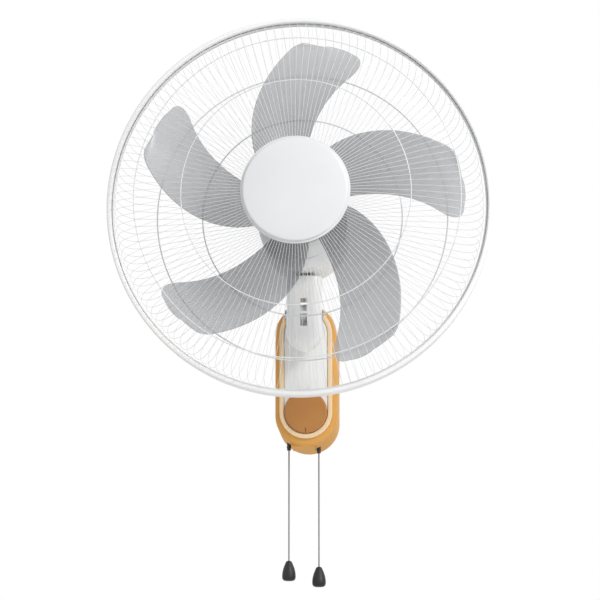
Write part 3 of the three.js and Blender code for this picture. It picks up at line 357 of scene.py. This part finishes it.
def extruded(bm, faces, along):
    """Pulls faces out by a vector in millimetres and gives the faces that moved."""
    grown = bmesh.ops.extrude_face_region(bm, geom=faces)
    moved = [g for g in grown["geom"] if isinstance(g, bmesh.types.BMVert)]
    bmesh.ops.translate(bm, verts=moved, vec=Vector(along) * MM)
    return [g for g in grown["geom"] if isinstance(g, bmesh.types.BMFace)]


def slab(outline, thickness, along):
    """Closed slab from an outline of points, thickness along a direction."""
    bm = bmesh.new()
    face = bm.faces.new([bm.verts.new(Vector(p) * MM) for p in outline])
    grown = bmesh.ops.extrude_face_region(bm, geom=[face])
    moved = [g for g in grown["geom"] if isinstance(g, bmesh.types.BMVert)]
    bmesh.ops.translate(bm, verts=moved, vec=Vector(along) * thickness * MM)
    bmesh.ops.recalc_face_normals(bm, faces=bm.faces[:])
    return bm


def round_edges(bm, edges, offset, steps=3):
    bmesh.ops.bevel(bm, geom=edges, offset=offset * MM, offset_type="OFFSET", segments=steps,
                    profile=0.5, affect="EDGES", material=-1, clamp_overlap=True)
    return bm


def sharp_edges(bm, angle, beyond=0):
    """Edges that bend by more than an angle and lie farther from the wall than beyond."""
    limit = math.radians(angle)
    return [e for e in bm.edges if len(e.link_faces) == 2 and e.calc_face_angle() > limit
            and (not beyond or all(v.co.y < -beyond * MM for v in e.verts))]


END_STEPS = 48


def stadium(width, height, out):
    """Outline with round ends, as points in millimetres at a distance out from the wall."""
    radius, rise = width / 2, (height - width) / 2
    steps = [math.pi * i / END_STEPS for i in range(END_STEPS + 1)]
    top = [(radius * math.cos(a), -out, rise + radius * math.sin(a)) for a in steps]
    bottom = [(-radius * math.cos(a), -out, -rise - radius * math.sin(a)) for a in steps]
    return top + bottom


def cut_away(obj, *cutters):
    """Cuts other closed shapes out of a piece and keeps the result as its mesh."""
    for cutter in cutters:
        mesh = bpy.data.meshes.new("cutter")
        cutter.to_mesh(mesh)
        cutter.free()
        tool = bpy.data.objects.new("cutter", mesh)
        bpy.context.scene.collection.objects.link(tool)
        modifier = obj.modifiers.new("cut", "BOOLEAN")
        modifier.operation = "DIFFERENCE"
        modifier.solver = "EXACT"
        modifier.object = tool
        depsgraph = bpy.context.evaluated_depsgraph_get()
        result = bpy.data.meshes.new_from_object(obj.evaluated_get(depsgraph))
        obj.modifiers.clear()
        old = obj.data
        obj.data = result
        result.name = obj.name
        bpy.data.meshes.remove(old)
        bpy.data.objects.remove(tool)
        bpy.data.meshes.remove(mesh)
    obj.data.shade_smooth()
    obj.data.set_sharp_from_angle(angle=math.radians(35))
    return obj


def box(low, high):
    """Closed box between two corners, given as x, out, up."""
    bm = bmesh.new()
    bmesh.ops.create_cube(bm, size=1)
    a, b = at(*low), at(*high)
    size = b - a
    bmesh.ops.scale(bm, verts=bm.verts[:], vec=[abs(s) for s in size])
    bmesh.ops.translate(bm, verts=bm.verts[:], vec=(a + b) / 2)
    return bm


# ---- Pull cords -----------------------------------------------------------------------------

CORD_THICK, CORD_POINTS = 1.8, 27
KNOB_RADIUS, KNOB_HIGH, KNOB_BELOW = 8.1, 23.6, 0.3
# The knob's outline from its foot to its top, as shares of its radius and height.
KNOB_OUTLINE = [(0, 0), (0.55, 0), (0.8, 0.03), (0.97, 0.12), (1, 0.2), (0.99, 0.32),
                (0.94, 0.45), (0.84, 0.6), (0.72, 0.72), (0.6, 0.82), (0.5, 0.9), (0.42, 0.96),
                (0.3, 1), (0, 1)]
# Each cord's x, and how far up its top, its lower end, the nose it comes out of and the top of
# the nut round that nose are.
CORDS = {"left": (-22.2, -79.5, -217.0, -85.5, -80.5),
         "right": (13.4, -83.1, -224.3, -89.1, -84.1)}


def make_cord(side, x, top, bottom):
    curve = bpy.data.curves.new(f"cord_{side}", "CURVE")
    curve.dimensions = "3D"
    curve.bevel_depth = CORD_THICK / 2 * MM
    curve.bevel_resolution = 4
    curve.use_fill_caps = True
    spline = curve.splines.new("POLY")
    spline.points.add(CORD_POINTS - 1)
    for index, point in enumerate(spline.points):
        up = top + (bottom - top) * index / (CORD_POINTS - 1)
        point.co = (*at(x, CORD_OUT, up), 1)
    curve.materials.append(cord_braid)
    cord = bpy.data.objects.new(f"cord_{side}", curve)
    bpy.context.scene.collection.objects.link(cord)
    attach(cord, f"{side}_pull")
    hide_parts(f"pull_cord_{side}")

    foot = bottom - KNOB_BELOW - KNOB_HIGH
    profile = [(KNOB_RADIUS * across, foot + KNOB_HIGH * rise) for across, rise in KNOB_OUTLINE]
    knob = turned(profile, "upright", (x, -CORD_OUT, 0), 48, soften=0.4, steps=2)
    knob = piece(f"bell_knob_{side}", knob, knob_moulding, f"{side}_pull", "black_plastic",
                 f"pull_knob_{side}")


for side, (x, top, bottom, exit_up, nut_top) in CORDS.items():
    make_cord(side, x, top, bottom)

# ---- Base on the wall -----------------------------------------------------------------------


HOUSING_BACK, HOUSING_STEPS = 0.3, (23.7, 1.0, 51.5)  # up to the seam, the seam, to the front


def make_housing():
    """Shell with rounded front edges and a fine seam all round, open at the back."""
    bm = bmesh.new()
    outline = stadium(73, 170, HOUSING_BACK)
    moving = [bm.faces.new([bm.verts.new(Vector(p) * MM) for p in outline])]
    for step in HOUSING_STEPS:
        moving = extruded(bm, moving, (0, -step, 0))
    bmesh.ops.recalc_face_normals(bm, faces=bm.faces[:])
    front = [f for f in bm.faces if f.normal.y < -0.9]
    rim = [e for f in front for e in f.edges]
    round_edges(bm, rim, 5, 8)
    seam = [f for f in bm.faces if abs(f.normal.y) < 0.1
            and 23.9 < -f.calc_center_median().y / MM < 25.1]
    bmesh.ops.inset_region(bm, faces=seam, thickness=0.15 * MM, depth=-0.5 * MM,
                           use_even_offset=True)
    shell = piece("housing_shell", bm, honey_moulding, "base", "honey_plastic", "base_housing")
    hollow = slab(stadium(68, 165, -1), 75, (0, -1, 0))
    noses = [turned([(0, -60), (2.6, -60), (2.6, -95), (0, -95)], "upright",
                    (x, -CORD_OUT, 0), 24) for x, *_ in CORDS.values()]
    cut_away(shell, hollow, *noses)
    # The long flat sides are shaded flat, so that the curves beside them don't tint them.
    for face in shell.data.polygons:
        if abs(face.normal.x) > 0.9999 or abs(face.normal.y) > 0.9999:
            face.use_smooth = False


def make_outlet():
    """Flat plate under the housing, between the two cords."""
    plate = box((-17.5, 32, -85.4), (9.5, 70, -81))
    round_edges(plate, plate.edges[:], 0.8, 3)
    piece("outlet_plate", plate, honey_moulding, "base", "honey_plastic")


FRONT_RISE = 2.9  # how much higher the foot of the trim, panel and cap is than in the CAD
CAP_UP, CAP_RADIUS = -48.5 + FRONT_RISE, 25.3


def front_slab(width, height, out, thickness):
    """Oval slab on the base's front; its foot stands higher than the housing's."""
    bm = slab(stadium(width, height - FRONT_RISE, out), thickness, (0, -1, 0))
    bmesh.ops.translate(bm, verts=bm.verts[:], vec=(0, 0, FRONT_RISE / 2 * MM))
    return bm


def make_front():
    """Trim band, panel and round cap with its short groove."""
    ring = front_slab(62.6, 159.6, 76.8, 4.2)
    ring = piece("trim_band", ring, cream_moulding, "base", "cream_plastic", "trim_ring")
    cut_away(ring, front_slab(51.4, 148.4, 70, 20))
    bm = bmesh.new()
    bm.from_mesh(ring.data)
    round_edges(bm, sharp_edges(bm, 60, beyond=80.9), 1.5, 5)
    bm.to_mesh(ring.data)
    bm.free()
    ring.data.shade_smooth()
    ring.data.set_sharp_from_angle(angle=math.radians(40))

    panel = front_slab(50.8, 147.8, 76.8, 3.0)
    round_edges(panel, sharp_edges(panel, 60, beyond=79.7), 0.8, 3)
    piece("front_cover", panel, white_moulding, "base", "white_plastic", "front_panel")

    cap = turned([(0, 79.6), (CAP_RADIUS, 79.6), (CAP_RADIUS, 82.6), (CAP_RADIUS - 1.6, 84.1),
                  (0, 84.3)], "fan", (0, 0, CAP_UP), 128)
    cap = piece("lower_cap", cap, brown_moulding, "base", "brown_plastic", "round_cap")
    cut_away(cap, box((-0.6, 82.1, -80), (0.6, 90, CAP_UP - CAP_RADIUS + 6)))


def make_exit_nuts():
    for side, (x, *_, top) in CORDS.items():
        nut = turned([(1.8, top - 2.6), (2.2, top - 2.6), (2.7, top - 2.1), (2.7, top),
                      (1.8, top)], "upright", (x, -CORD_OUT, 0), 36)
        piece(f"exit_nut_{side}", nut, black_moulding, "base", "black_plastic",
              f"cord_nut_{side}")


make_housing()
make_outlet()
make_front()
make_exit_nuts()

# ---- Arm and neck ---------------------------------------------------------------------------


def make_arm():
    """Flange on the base's front with the tongue that the neck's fork straddles."""
    start, steps, reach, half, root = math.radians(-120), 24, 12, 7, 81.7
    arc = [start + (math.pi / 2 - start) * i / steps for i in range(steps + 1)]
    side = [(-half, -root, 34)]
    side += [(-half, -SWIVEL_OUT - reach * math.cos(a), TILT_UP + reach * math.sin(a))
             for a in arc]
    side += [(-half, -root, 62)]
    tongue = slab(side, 2 * half, (1, 0, 0))
    round_edges(tongue, sharp_edges(tongue, 70, beyond=82), 1.2, 3)
    x, z, r, mid = 16, 14, 4, 48  # half the flange's width and height, its corners, its middle
    corners = [(x - r, z - r, 0), (r - x, z - r, 90), (r - x, r - z, 180), (x - r, r - z, 270)]
    outline = [(cx + r * math.cos(math.radians(t + 15 * k)), -80.1,
                mid + cz + r * math.sin(math.radians(t + 15 * k)))
               for cx, cz, t in corners for k in range(7)]
    flange = slab(outline, 3.2, (0, -1, 0))
    round_edges(flange, sharp_edges(flange, 60, beyond=83), 0.8, 3)
    piece("arm_tongue", tongue, white_moulding, "base", "white_plastic", "tilt_arm")
    piece("arm_flange", flange, white_moulding, "base", "white_plastic")


def make_neck():
    """Column lofted upward from its rounded foot, with a fork slot behind and two windows."""
    low, high, half_width, half_depth, count = 22, 110, 21, 18, 64
    squareness = 0.55

    def section(up):
        """Half width and how far the back and the front reach at a height."""
        foot = min(1.0, (up - low) / 21)
        width = half_width * math.sqrt(max(0.0, 1 - (1 - foot) ** 2)) if foot < 1 else half_width
        front_cut = 7 * max(0.0, 1 - (up - low) / 14) ** 1.6
        back_cut = 14 * max(0.0, 1 - (up - low) / 44)
        return max(width, 0.5), half_depth - back_cut, half_depth - front_cut

    levels = [low + 21 * (1 - math.cos(math.pi / 2 * i / 10)) for i in range(1, 11)]
    levels += [43 + (high - 43) * i / 12 for i in range(1, 13)]
    bm = bmesh.new()
    ring = bmesh.ops.create_circle(bm, segments=count, radius=1)["verts"]
    angles = [2 * math.pi * (i + 0.5) / count for i in range(count)]

    def shape(verts, up):
        width, back, front = section(up)
        for vert, angle in zip(verts, angles):
            c, s = math.cos(angle), math.sin(angle)
            across = math.copysign(abs(c) ** squareness, c) * width
            inward = math.copysign(abs(s) ** squareness, s) * (front if s < 0 else back)
            vert.co = at(across, SWIVEL_OUT - inward, up)

    shape(ring, levels[0])
    edges = [bm.edges.get((ring[i], ring[(i + 1) % count])) for i in range(count)]
    bmesh.ops.edgeloop_fill(bm, edges=edges)
    for up in levels[1:]:
        grown = bmesh.ops.extrude_edge_only(bm, edges=edges)["geom"]
        new_edges = [g for g in grown if isinstance(g, bmesh.types.BMEdge)]
        follow = {}
        for edge in new_edges:
            for vert in edge.verts:
                follow[tuple(round(c, 7) for c in vert.co)] = vert
        ring = [follow[tuple(round(c, 7) for c in vert.co)] for vert in ring]
        shape(ring, up)
        edges = [bm.edges.get((ring[i], ring[(i + 1) % count])) for i in range(count)]
    bmesh.ops.edgeloop_fill(bm, edges=edges)
    bmesh.ops.recalc_face_normals(bm, faces=bm.faces[:])
    top = [e for e in bm.edges if all(v.co.z > (high - 0.01) * MM for v in e.verts)
           and len(e.link_faces) == 2 and e.calc_face_angle() > 1]
    round_edges(bm, top, 2, 4)
    neck = piece("neck_column", bm, white_moulding, "neck", "white_plastic", "neck")
    slot = box((-7.3, 70, 35), (7.3, 120.6, 84))
    windows = [box((-4, 110, 67.5), (4, 130, 82.5)), box((-4, 110, 49.5), (4, 130, 64.5))]
    pivot = (0, -SWIVEL_OUT, TILT_UP)
    bolt = turned([(0, -30), (3.3, -30), (3.3, 30), (0, 30)], "level", pivot, 24)
    seats = [turned([(0, a), (6.6, a), (6.6, b), (0, b)], "level", pivot, 36)
             for a, b in ((-30, -19), (19, 30))]
    cut_away(neck, slot, *windows, bolt, *seats)


make_arm()
make_neck()

# ---- Motor cover ----------------------------------------------------------------------------


COVER_STEPS, COVER_DROP = 96, 5
VENTS = (-34, -28, -22, -16, 12, 18, 24, 30)  # heights of the slots above the fan's axis


def cover_oval(out):
    """The motor cover's outline; its middle lies a little under the fan's axis."""
    angles = [2 * math.pi * i / COVER_STEPS for i in range(COVER_STEPS)]
    return [(52 * math.cos(a), -out, FAN_UP - COVER_DROP + 55 * math.sin(a)) for a in angles]


def make_cover():
    """Drum with a rounded back, vent slots and two screw wells, and the plate that closes it."""
    bm = bmesh.new()
    front = bm.faces.new([bm.verts.new(Vector(p) * MM) for p in cover_oval(145.7)])
    extruded(bm, [front], (0, 89.7, 0))
    bmesh.ops.recalc_face_normals(bm, faces=bm.faces[:])
    back = [f for f in bm.faces if f.normal.y > 0.9]
    round_edges(bm, [e for f in back for e in f.edges], 14, 10)
    cover = piece("motor_shell", bm, white_moulding, "head", "white_plastic", "motor_cover")
    slots = [box((-24, 50, FAN_UP + z - 1.2), (24, 59, FAN_UP + z + 1.2)) for z in VENTS]
    wells = [turned([(0, 50), (4.3, 50), (4.3, 69.7), (0, 69.7)], "fan", (x, 0, FAN_UP), 32)
             for x in (-28, 28)]
    cut_away(cover, *slots, *wells)

    plate = slab(cover_oval(146), 4, (0, -1, 0))
    round_edges(plate, sharp_edges(plate, 60), 0.8, 3)
    piece("motor_front", plate, white_moulding, "head", "white_plastic", "motor_faceplate")


make_cover()

# ---- Guard ----------------------------------------------------------------------------------

WIRES, WIRE_SIDES = 136, 5
FRONT_WIRE, REAR_WIRE = 0.21, 0.22  # radius of the wires
HOOP_SIDES, RIM_HOOP, RIM_HOOP_STEPS = 8, 215.2, 224
# Each guard is a shallow dome from the rim of its centre plate (inner) to its shoulder, and
# then turns down to the rim band. Sign says which way out from the plate it goes.
FRONT = dict(plate=299, inner=62, crown=40, shoulder=200, depth=82.65, sign=-1)
REAR = dict(plate=151.5, inner=48, crown=4, shoulder=192, depth=62.15, sign=1)
RIM_WALL = 211.8


def fan_point(radius, angle, out):
    """A point round the fan's axis, in millimetres."""
    return Vector((radius * math.cos(angle), -out, FAN_UP + radius * math.sin(angle)))


def bent_wire(route, radius):
    """One wire as a tube along a route of points in millimetres."""
    bm = bmesh.new()
    frames = []
    for index, point in enumerate(route):
        before, after = route[max(index - 1, 0)], route[min(index + 1, len(route) - 1)]
        along = (after - before).normalized()
        around = Vector((-(point.z - FAN_UP), 0, point.x)).normalized()
        side = (around - along * around.dot(along)).normalized()
        frames.append(Matrix.Translation(point * MM)
                      @ Matrix((side, along.cross(side), along)).transposed().to_4x4())
    ring = bmesh.ops.create_circle(bm, segments=WIRE_SIDES, radius=radius * MM,
                                   matrix=frames[0])
    edges = list({e for v in ring["verts"] for e in v.link_edges})
    bmesh.ops.edgeloop_fill(bm, edges=edges)
    for before, after in zip(frames, frames[1:]):
        grown = bmesh.ops.extrude_edge_only(bm, edges=edges)["geom"]
        edges = [g for g in grown if isinstance(g, bmesh.types.BMEdge)]
        verts = [g for g in grown if isinstance(g, bmesh.types.BMVert)]
        bmesh.ops.transform(bm, matrix=after @ before.inverted(), verts=verts)
    bmesh.ops.edgeloop_fill(bm, edges=edges)
    bmesh.ops.recalc_face_normals(bm, faces=bm.faces[:])
    return bm


def hoop(radius, out, wire, bm=None, segments=160):
    """Ring of round wire about the fan's axis."""
    made = bmesh.new()
    bmesh.ops.create_circle(made, segments=HOOP_SIDES, radius=wire * MM,
                            matrix=Matrix.Translation((radius * MM, -out * MM, 0)))
    full_turn(made, (0, 1, 0), segments)
    bmesh.ops.translate(made, verts=made.verts[:], vec=(0, 0, FAN_UP * MM))
    bmesh.ops.recalc_face_normals(made, faces=made.faces[:])
    return joined(bm, made) if bm else made


def dome_out(guard, radius):
    """Distance from the wall of a guard's flat part at a radius."""
    share = (radius - guard["inner"]) / (guard["shoulder"] - guard["inner"])
    return guard["plate"] + guard["sign"] * guard["crown"] * max(share, 0) ** 2


def wire_route(guard, flat):
    """A wire from the centre plate over the shoulder and down to the rim."""
    route = [fan_point(radius, 0, dome_out(guard, radius)) for radius in flat]
    drop = guard["depth"] - guard["crown"]
    for angle in (25, 45, 62, 76, 90):
        a = math.radians(angle)
        radius = guard["shoulder"] + (RIM_WALL - guard["shoulder"]) * math.sin(a)
        out = guard["plate"] + guard["sign"] * (guard["crown"] + drop * (1 - math.cos(a)))
        route.append(fan_point(radius, 0, out))
    return route


def make_guard(side, guard, wire, stops, hoops, hoop_wire, lift, plate_hole):
    """One guard's wires, and the rings that its wires are welded to."""
    wires = repeated(bent_wire(wire_route(guard, stops), wire), WIRES)
    piece(f"{side}_wires", wires, powder_coat, "head", "guard_wire", f"{side}_guard", sharp=70)
    rings = bmesh.new()
    for radius in hoops:
        hoop(radius, dome_out(guard, radius) + lift, hoop_wire, rings)
    hoop(RIM_HOOP, RIM_OUT - 1.5 * guard["sign"], 1.2, rings, RIM_HOOP_STEPS)
    low, high = guard["plate"] - 1.2, guard["plate"] + 1.2
    turned([(plate_hole, low), (guard["inner"], low), (guard["inner"], high),
            (plate_hole, high)], "fan", FAN_CENTRE, 96, soften=0.5, steps=2, bm=rings)
    piece(f"{side}_rings", rings, powder_coat, "head", "guard_wire")


def make_rim():
    """Band round both guards' edges, a channel open to the inside."""
    band = turned([(216.4, -7.6), (217.8, -9), (220.8, -9), (222, -7.8), (222, 7.8),
                   (220.8, 9), (217.8, 9), (216.4, 7.6), (216.4, 2.85), (219.2, 2.85),
                   (219.2, -2.85), (216.4, -2.85)], "fan", (0, -RIM_OUT, FAN_UP), 256,
                  soften=0.6, steps=3)
    piece("rim_hoop", band, white_moulding, "head", "white_plastic", "guard_rim_band")


def make_badge():
    back, edge, crown, radius = 300.5, 3, 4.5, 59.5
    dome = [(radius * s, back + edge + crown * (1 - s * s))
            for s in (0.965, 0.93, 0.85, 0.72, 0.56, 0.38, 0.2, 0)]
    corner = [(radius, back + 1), (radius, back + 2), (radius * 0.992, back + edge - 0.1)]
    badge = turned([(0, back), (radius - 1, back)] + corner + dome, "fan", FAN_CENTRE, 160)
    piece("badge_disc", badge, pearl_moulding, "head", "white_plastic", "badge", sharp=50)


def make_guard_nut():
    nut = turned([(11.3, 153), (24, 153), (24, 159.5), (11.3, 159.5)], "fan", FAN_CENTRE, 96,
                 soften=0.8, steps=3)
    rib = turned([(0, 153.2), (1.4, 153.2), (1.4, 159.1), (0, 159.1)], "fan",
                 (23.6, 0, FAN_UP), 8)
    joined(nut, repeated(rib, 24))
    piece("locking_nut", nut, black_moulding, "head", "black_plastic", "guard_nut")


make_guard("front", FRONT, FRONT_WIRE, (60, 84, 108, 130, 152, 170, 186, 200), (130, 186), 0.6,
           -0.8, 34)
make_guard("rear", REAR, REAR_WIRE, (44, 100, 150, 178, 192), (117, 170), 0.8, 1.1, 11.3)
make_rim()
make_badge()
make_guard_nut()

# ---- Blades ---------------------------------------------------------------------------------

HUB, TIP, BLADE_OUT, BLADE_THICK, BLADES = 42, 189.3, 224.3, 2.4, 5
LEAD_CORNER, TRAIL_CORNER = 27, 8  # how far each corner of a blade's tip is rounded
hub_plastic = moulded("hub_plastic", "#8d9094", "#999ca0", (0.3, 0.4), coat_weight=0.3)


def blade_point(share, along):
    """A point of a blade's middle surface; along runs from the leading to the trailing edge."""
    radius = HUB - 1.5 + (TIP - HUB + 1.5) * share
    reach = (radius - HUB) / (TIP - HUB)

    def corner(size):
        into = min(max(0.0, (radius - TIP + size) / size), 1.0)
        return size * (1 - math.sqrt(1 - into ** 2)) / radius

    lead = math.radians(13.4 - 22.8 * reach * (1 + 1.7 * reach) / 2.7) + corner(LEAD_CORNER)
    trail = math.radians(71.6 - 53.4 * reach) - corner(TRAIL_CORNER)
    angle = lead + (trail - lead) * along
    pitch = 36 - 18 * share
    out = BLADE_OUT + pitch * (along - 0.5) - 20 * along * (1 - along)
    return fan_point(radius, angle, out)


def make_blades():
    """The blades on their hub, and the nut that holds them on the shaft."""
    bm = bmesh.new()
    bmesh.ops.create_grid(bm, x_segments=34, y_segments=16, size=0.5)
    for vert in bm.verts:
        share = math.sin(math.pi / 2 * (vert.co.x + 0.5))
        vert.co = blade_point(share, vert.co.y + 0.5) * MM
    bmesh.ops.recalc_face_normals(bm, faces=bm.faces[:])
    bmesh.ops.solidify(bm, geom=bm.faces[:], thickness=BLADE_THICK * MM)
    bmesh.ops.recalc_face_normals(bm, faces=bm.faces[:])
    round_edges(bm, sharp_edges(bm, 50), 0.9, 3)
    repeated(bm, BLADES)
    piece("blade_set", bm, smoke_plastic, "rotor", "blade_plastic", "fan_blades", sharp=50)

    hub = turned([(4.3, 214.3), (9.3, 214.3), (9.3, 245.3), (39, 239.3), (39, 198.3),
                  (HUB, 198.3), (HUB, 242.3), (36, 248.3), (4.3, 248.3)], "fan", FAN_CENTRE,
                 96, soften=1.2, steps=4)
    piece("blade_hub", hub, hub_plastic, "rotor", "blade_plastic")

    nut = turned([(4.3, 248.6), (13, 248.6), (13, 254.6), (10.4, 262.1), (5.2, 266.6),
                  (0, 266.6), (0, 260.6), (4.3, 260.6)], "fan", FAN_CENTRE, 48, soften=0.7,
                 steps=3)
    rib = turned([(0, 249), (1, 249), (1, 254.4), (0, 254.4)], "fan", (12.7, 0, FAN_UP), 8)
    joined(nut, repeated(rib, 16))
    piece("spin_nut", nut, black_moulding, "rotor", "black_plastic", "blade_nut")


make_blades()

# ---- CAD pieces that show as they are -------------------------------------------------------

CARRIED_OVER = {
    zinc_sheet: ["wall_bracket"],
    dark_rubber: ["lead_grommet"],
    bright_steel: ["base_screw_top", "base_screw_bottom", "arm_screw_left", "arm_screw_right",
                   "tilt_bolt", "tilt_nut", "swivel_post", "swing_link", "cover_screw_left",
                   "cover_screw_right", "pull_link_left", "pull_link_right", "front_bearing",
                   "rear_bearing", "motor_shaft", "drive_pin"],
    black_moulding: ["run_capacitor", "speed_switch", "swing_switch", "thrust_washer"],
    inner_plastic: ["terminal_block"],
    yellow_brass: ["speed_drum", "swing_drum", "swing_crank"],
    cast_alloy: ["swivel_bracket", "swing_motor", "front_end_shield", "rear_end_shield"],
    laminations: ["stator_core", "rotor_core"],
    varnished_winding: ["front_winding", "rear_winding"],
}
for finish, names in CARRIED_OVER.items():
    for name in names:
        nodes[name].data.materials.clear()
        nodes[name].data.materials.append(finish)

# ---- Room and light -------------------------------------------------------------------------


def make_room():
    """Pale floor that is lit by itself where the camera sees it, and still takes a shadow."""
    bm = bmesh.new()
    bmesh.ops.create_grid(bm, x_segments=1, y_segments=1, size=12)
    bmesh.ops.translate(bm, verts=bm.verts[:], vec=(0, 0, -0.75))
    mesh = bpy.data.meshes.new("floor")
    bm.to_mesh(mesh)
    bm.free()
    floor = bpy.data.objects.new("floor", mesh)
    bpy.context.scene.collection.objects.link(floor)
    finish = Finish("pale_floor", roughness=0.9)
    finish.colour(finish.noise(3, 2), "#f0f0ef", "#f4f4f3")
    glow = finish.node("ShaderNodeEmission", Color=(1, 1, 1, 1), Strength=1)
    both = finish.node("ShaderNodeMixShader")
    share = finish.node("ShaderNodeMath", operation="MULTIPLY")
    share.inputs[1].default_value = 0.8
    finish.link(finish.node("ShaderNodeLightPath").outputs["Is Camera Ray"], share.inputs[0])
    finish.link(share.outputs[0], both.inputs[0])
    finish.link(finish.shader.outputs[0], both.inputs[1])
    finish.link(glow.outputs[0], both.inputs[2])
    finish.link(both.outputs[0], finish.tree.nodes["Material Output"].inputs["Surface"])
    mesh.materials.append(finish.material)


def make_world(level):
    """White where it is seen, straight or in gloss and glass, and a plain level of light."""
    world = bpy.data.worlds.new("studio")
    bpy.context.scene.world = world
    world.use_nodes = True
    tree = world.node_tree
    background = tree.nodes["Background"]
    background.inputs["Color"].default_value = (1, 1, 1, 1)
    path = tree.nodes.new("ShaderNodeLightPath")
    seen = path.outputs["Is Camera Ray"]
    for other in ("Is Glossy Ray", "Is Transmission Ray"):
        most = tree.nodes.new("ShaderNodeMath")
        most.operation = "MAXIMUM"
        tree.links.new(seen, most.inputs[0])
        tree.links.new(path.outputs[other], most.inputs[1])
        seen = most.outputs[0]
    strength = tree.nodes.new("ShaderNodeMapRange")
    strength.inputs["To Min"].default_value = level
    strength.inputs["To Max"].default_value = 1
    tree.links.new(seen, strength.inputs["Value"])
    tree.links.new(strength.outputs["Result"], background.inputs["Strength"])


def make_lamp(name, azimuth, elevation, distance, size, power):
    """Soft square lamp that looks at the fan. Azimuth 0 is straight in front, + is right."""
    azimuth, elevation = math.radians(azimuth), math.radians(elevation)
    away = Vector((math.sin(azimuth) * math.cos(elevation),
                   -math.cos(azimuth) * math.cos(elevation), math.sin(elevation)))
    data = bpy.data.lights.new(name, "AREA")
    data.size = size
    data.energy = power
    lamp = bpy.data.objects.new(name, data)
    lamp.location = at(0, 150, 100) + away * distance
    lamp.rotation_euler = (-away).to_track_quat("-Z", "Y").to_euler()
    bpy.context.scene.collection.objects.link(lamp)


# Azimuth, elevation, distance, size in metres and power of each lamp.
LAMPS = {"key": (42, 26, 3.0, 0.9, 50), "low_fill": (-2, -38, 2.6, 1.6, 32),
         "left_fill": (-60, -34, 2.6, 1.2, 26), "back": (150, 40, 3.0, 1.5, 10)}

make_room()
make_world(0.62)
for name, values in LAMPS.items():
    make_lamp(name, *values)
bpy.context.scene.view_settings.view_transform = "Standard"
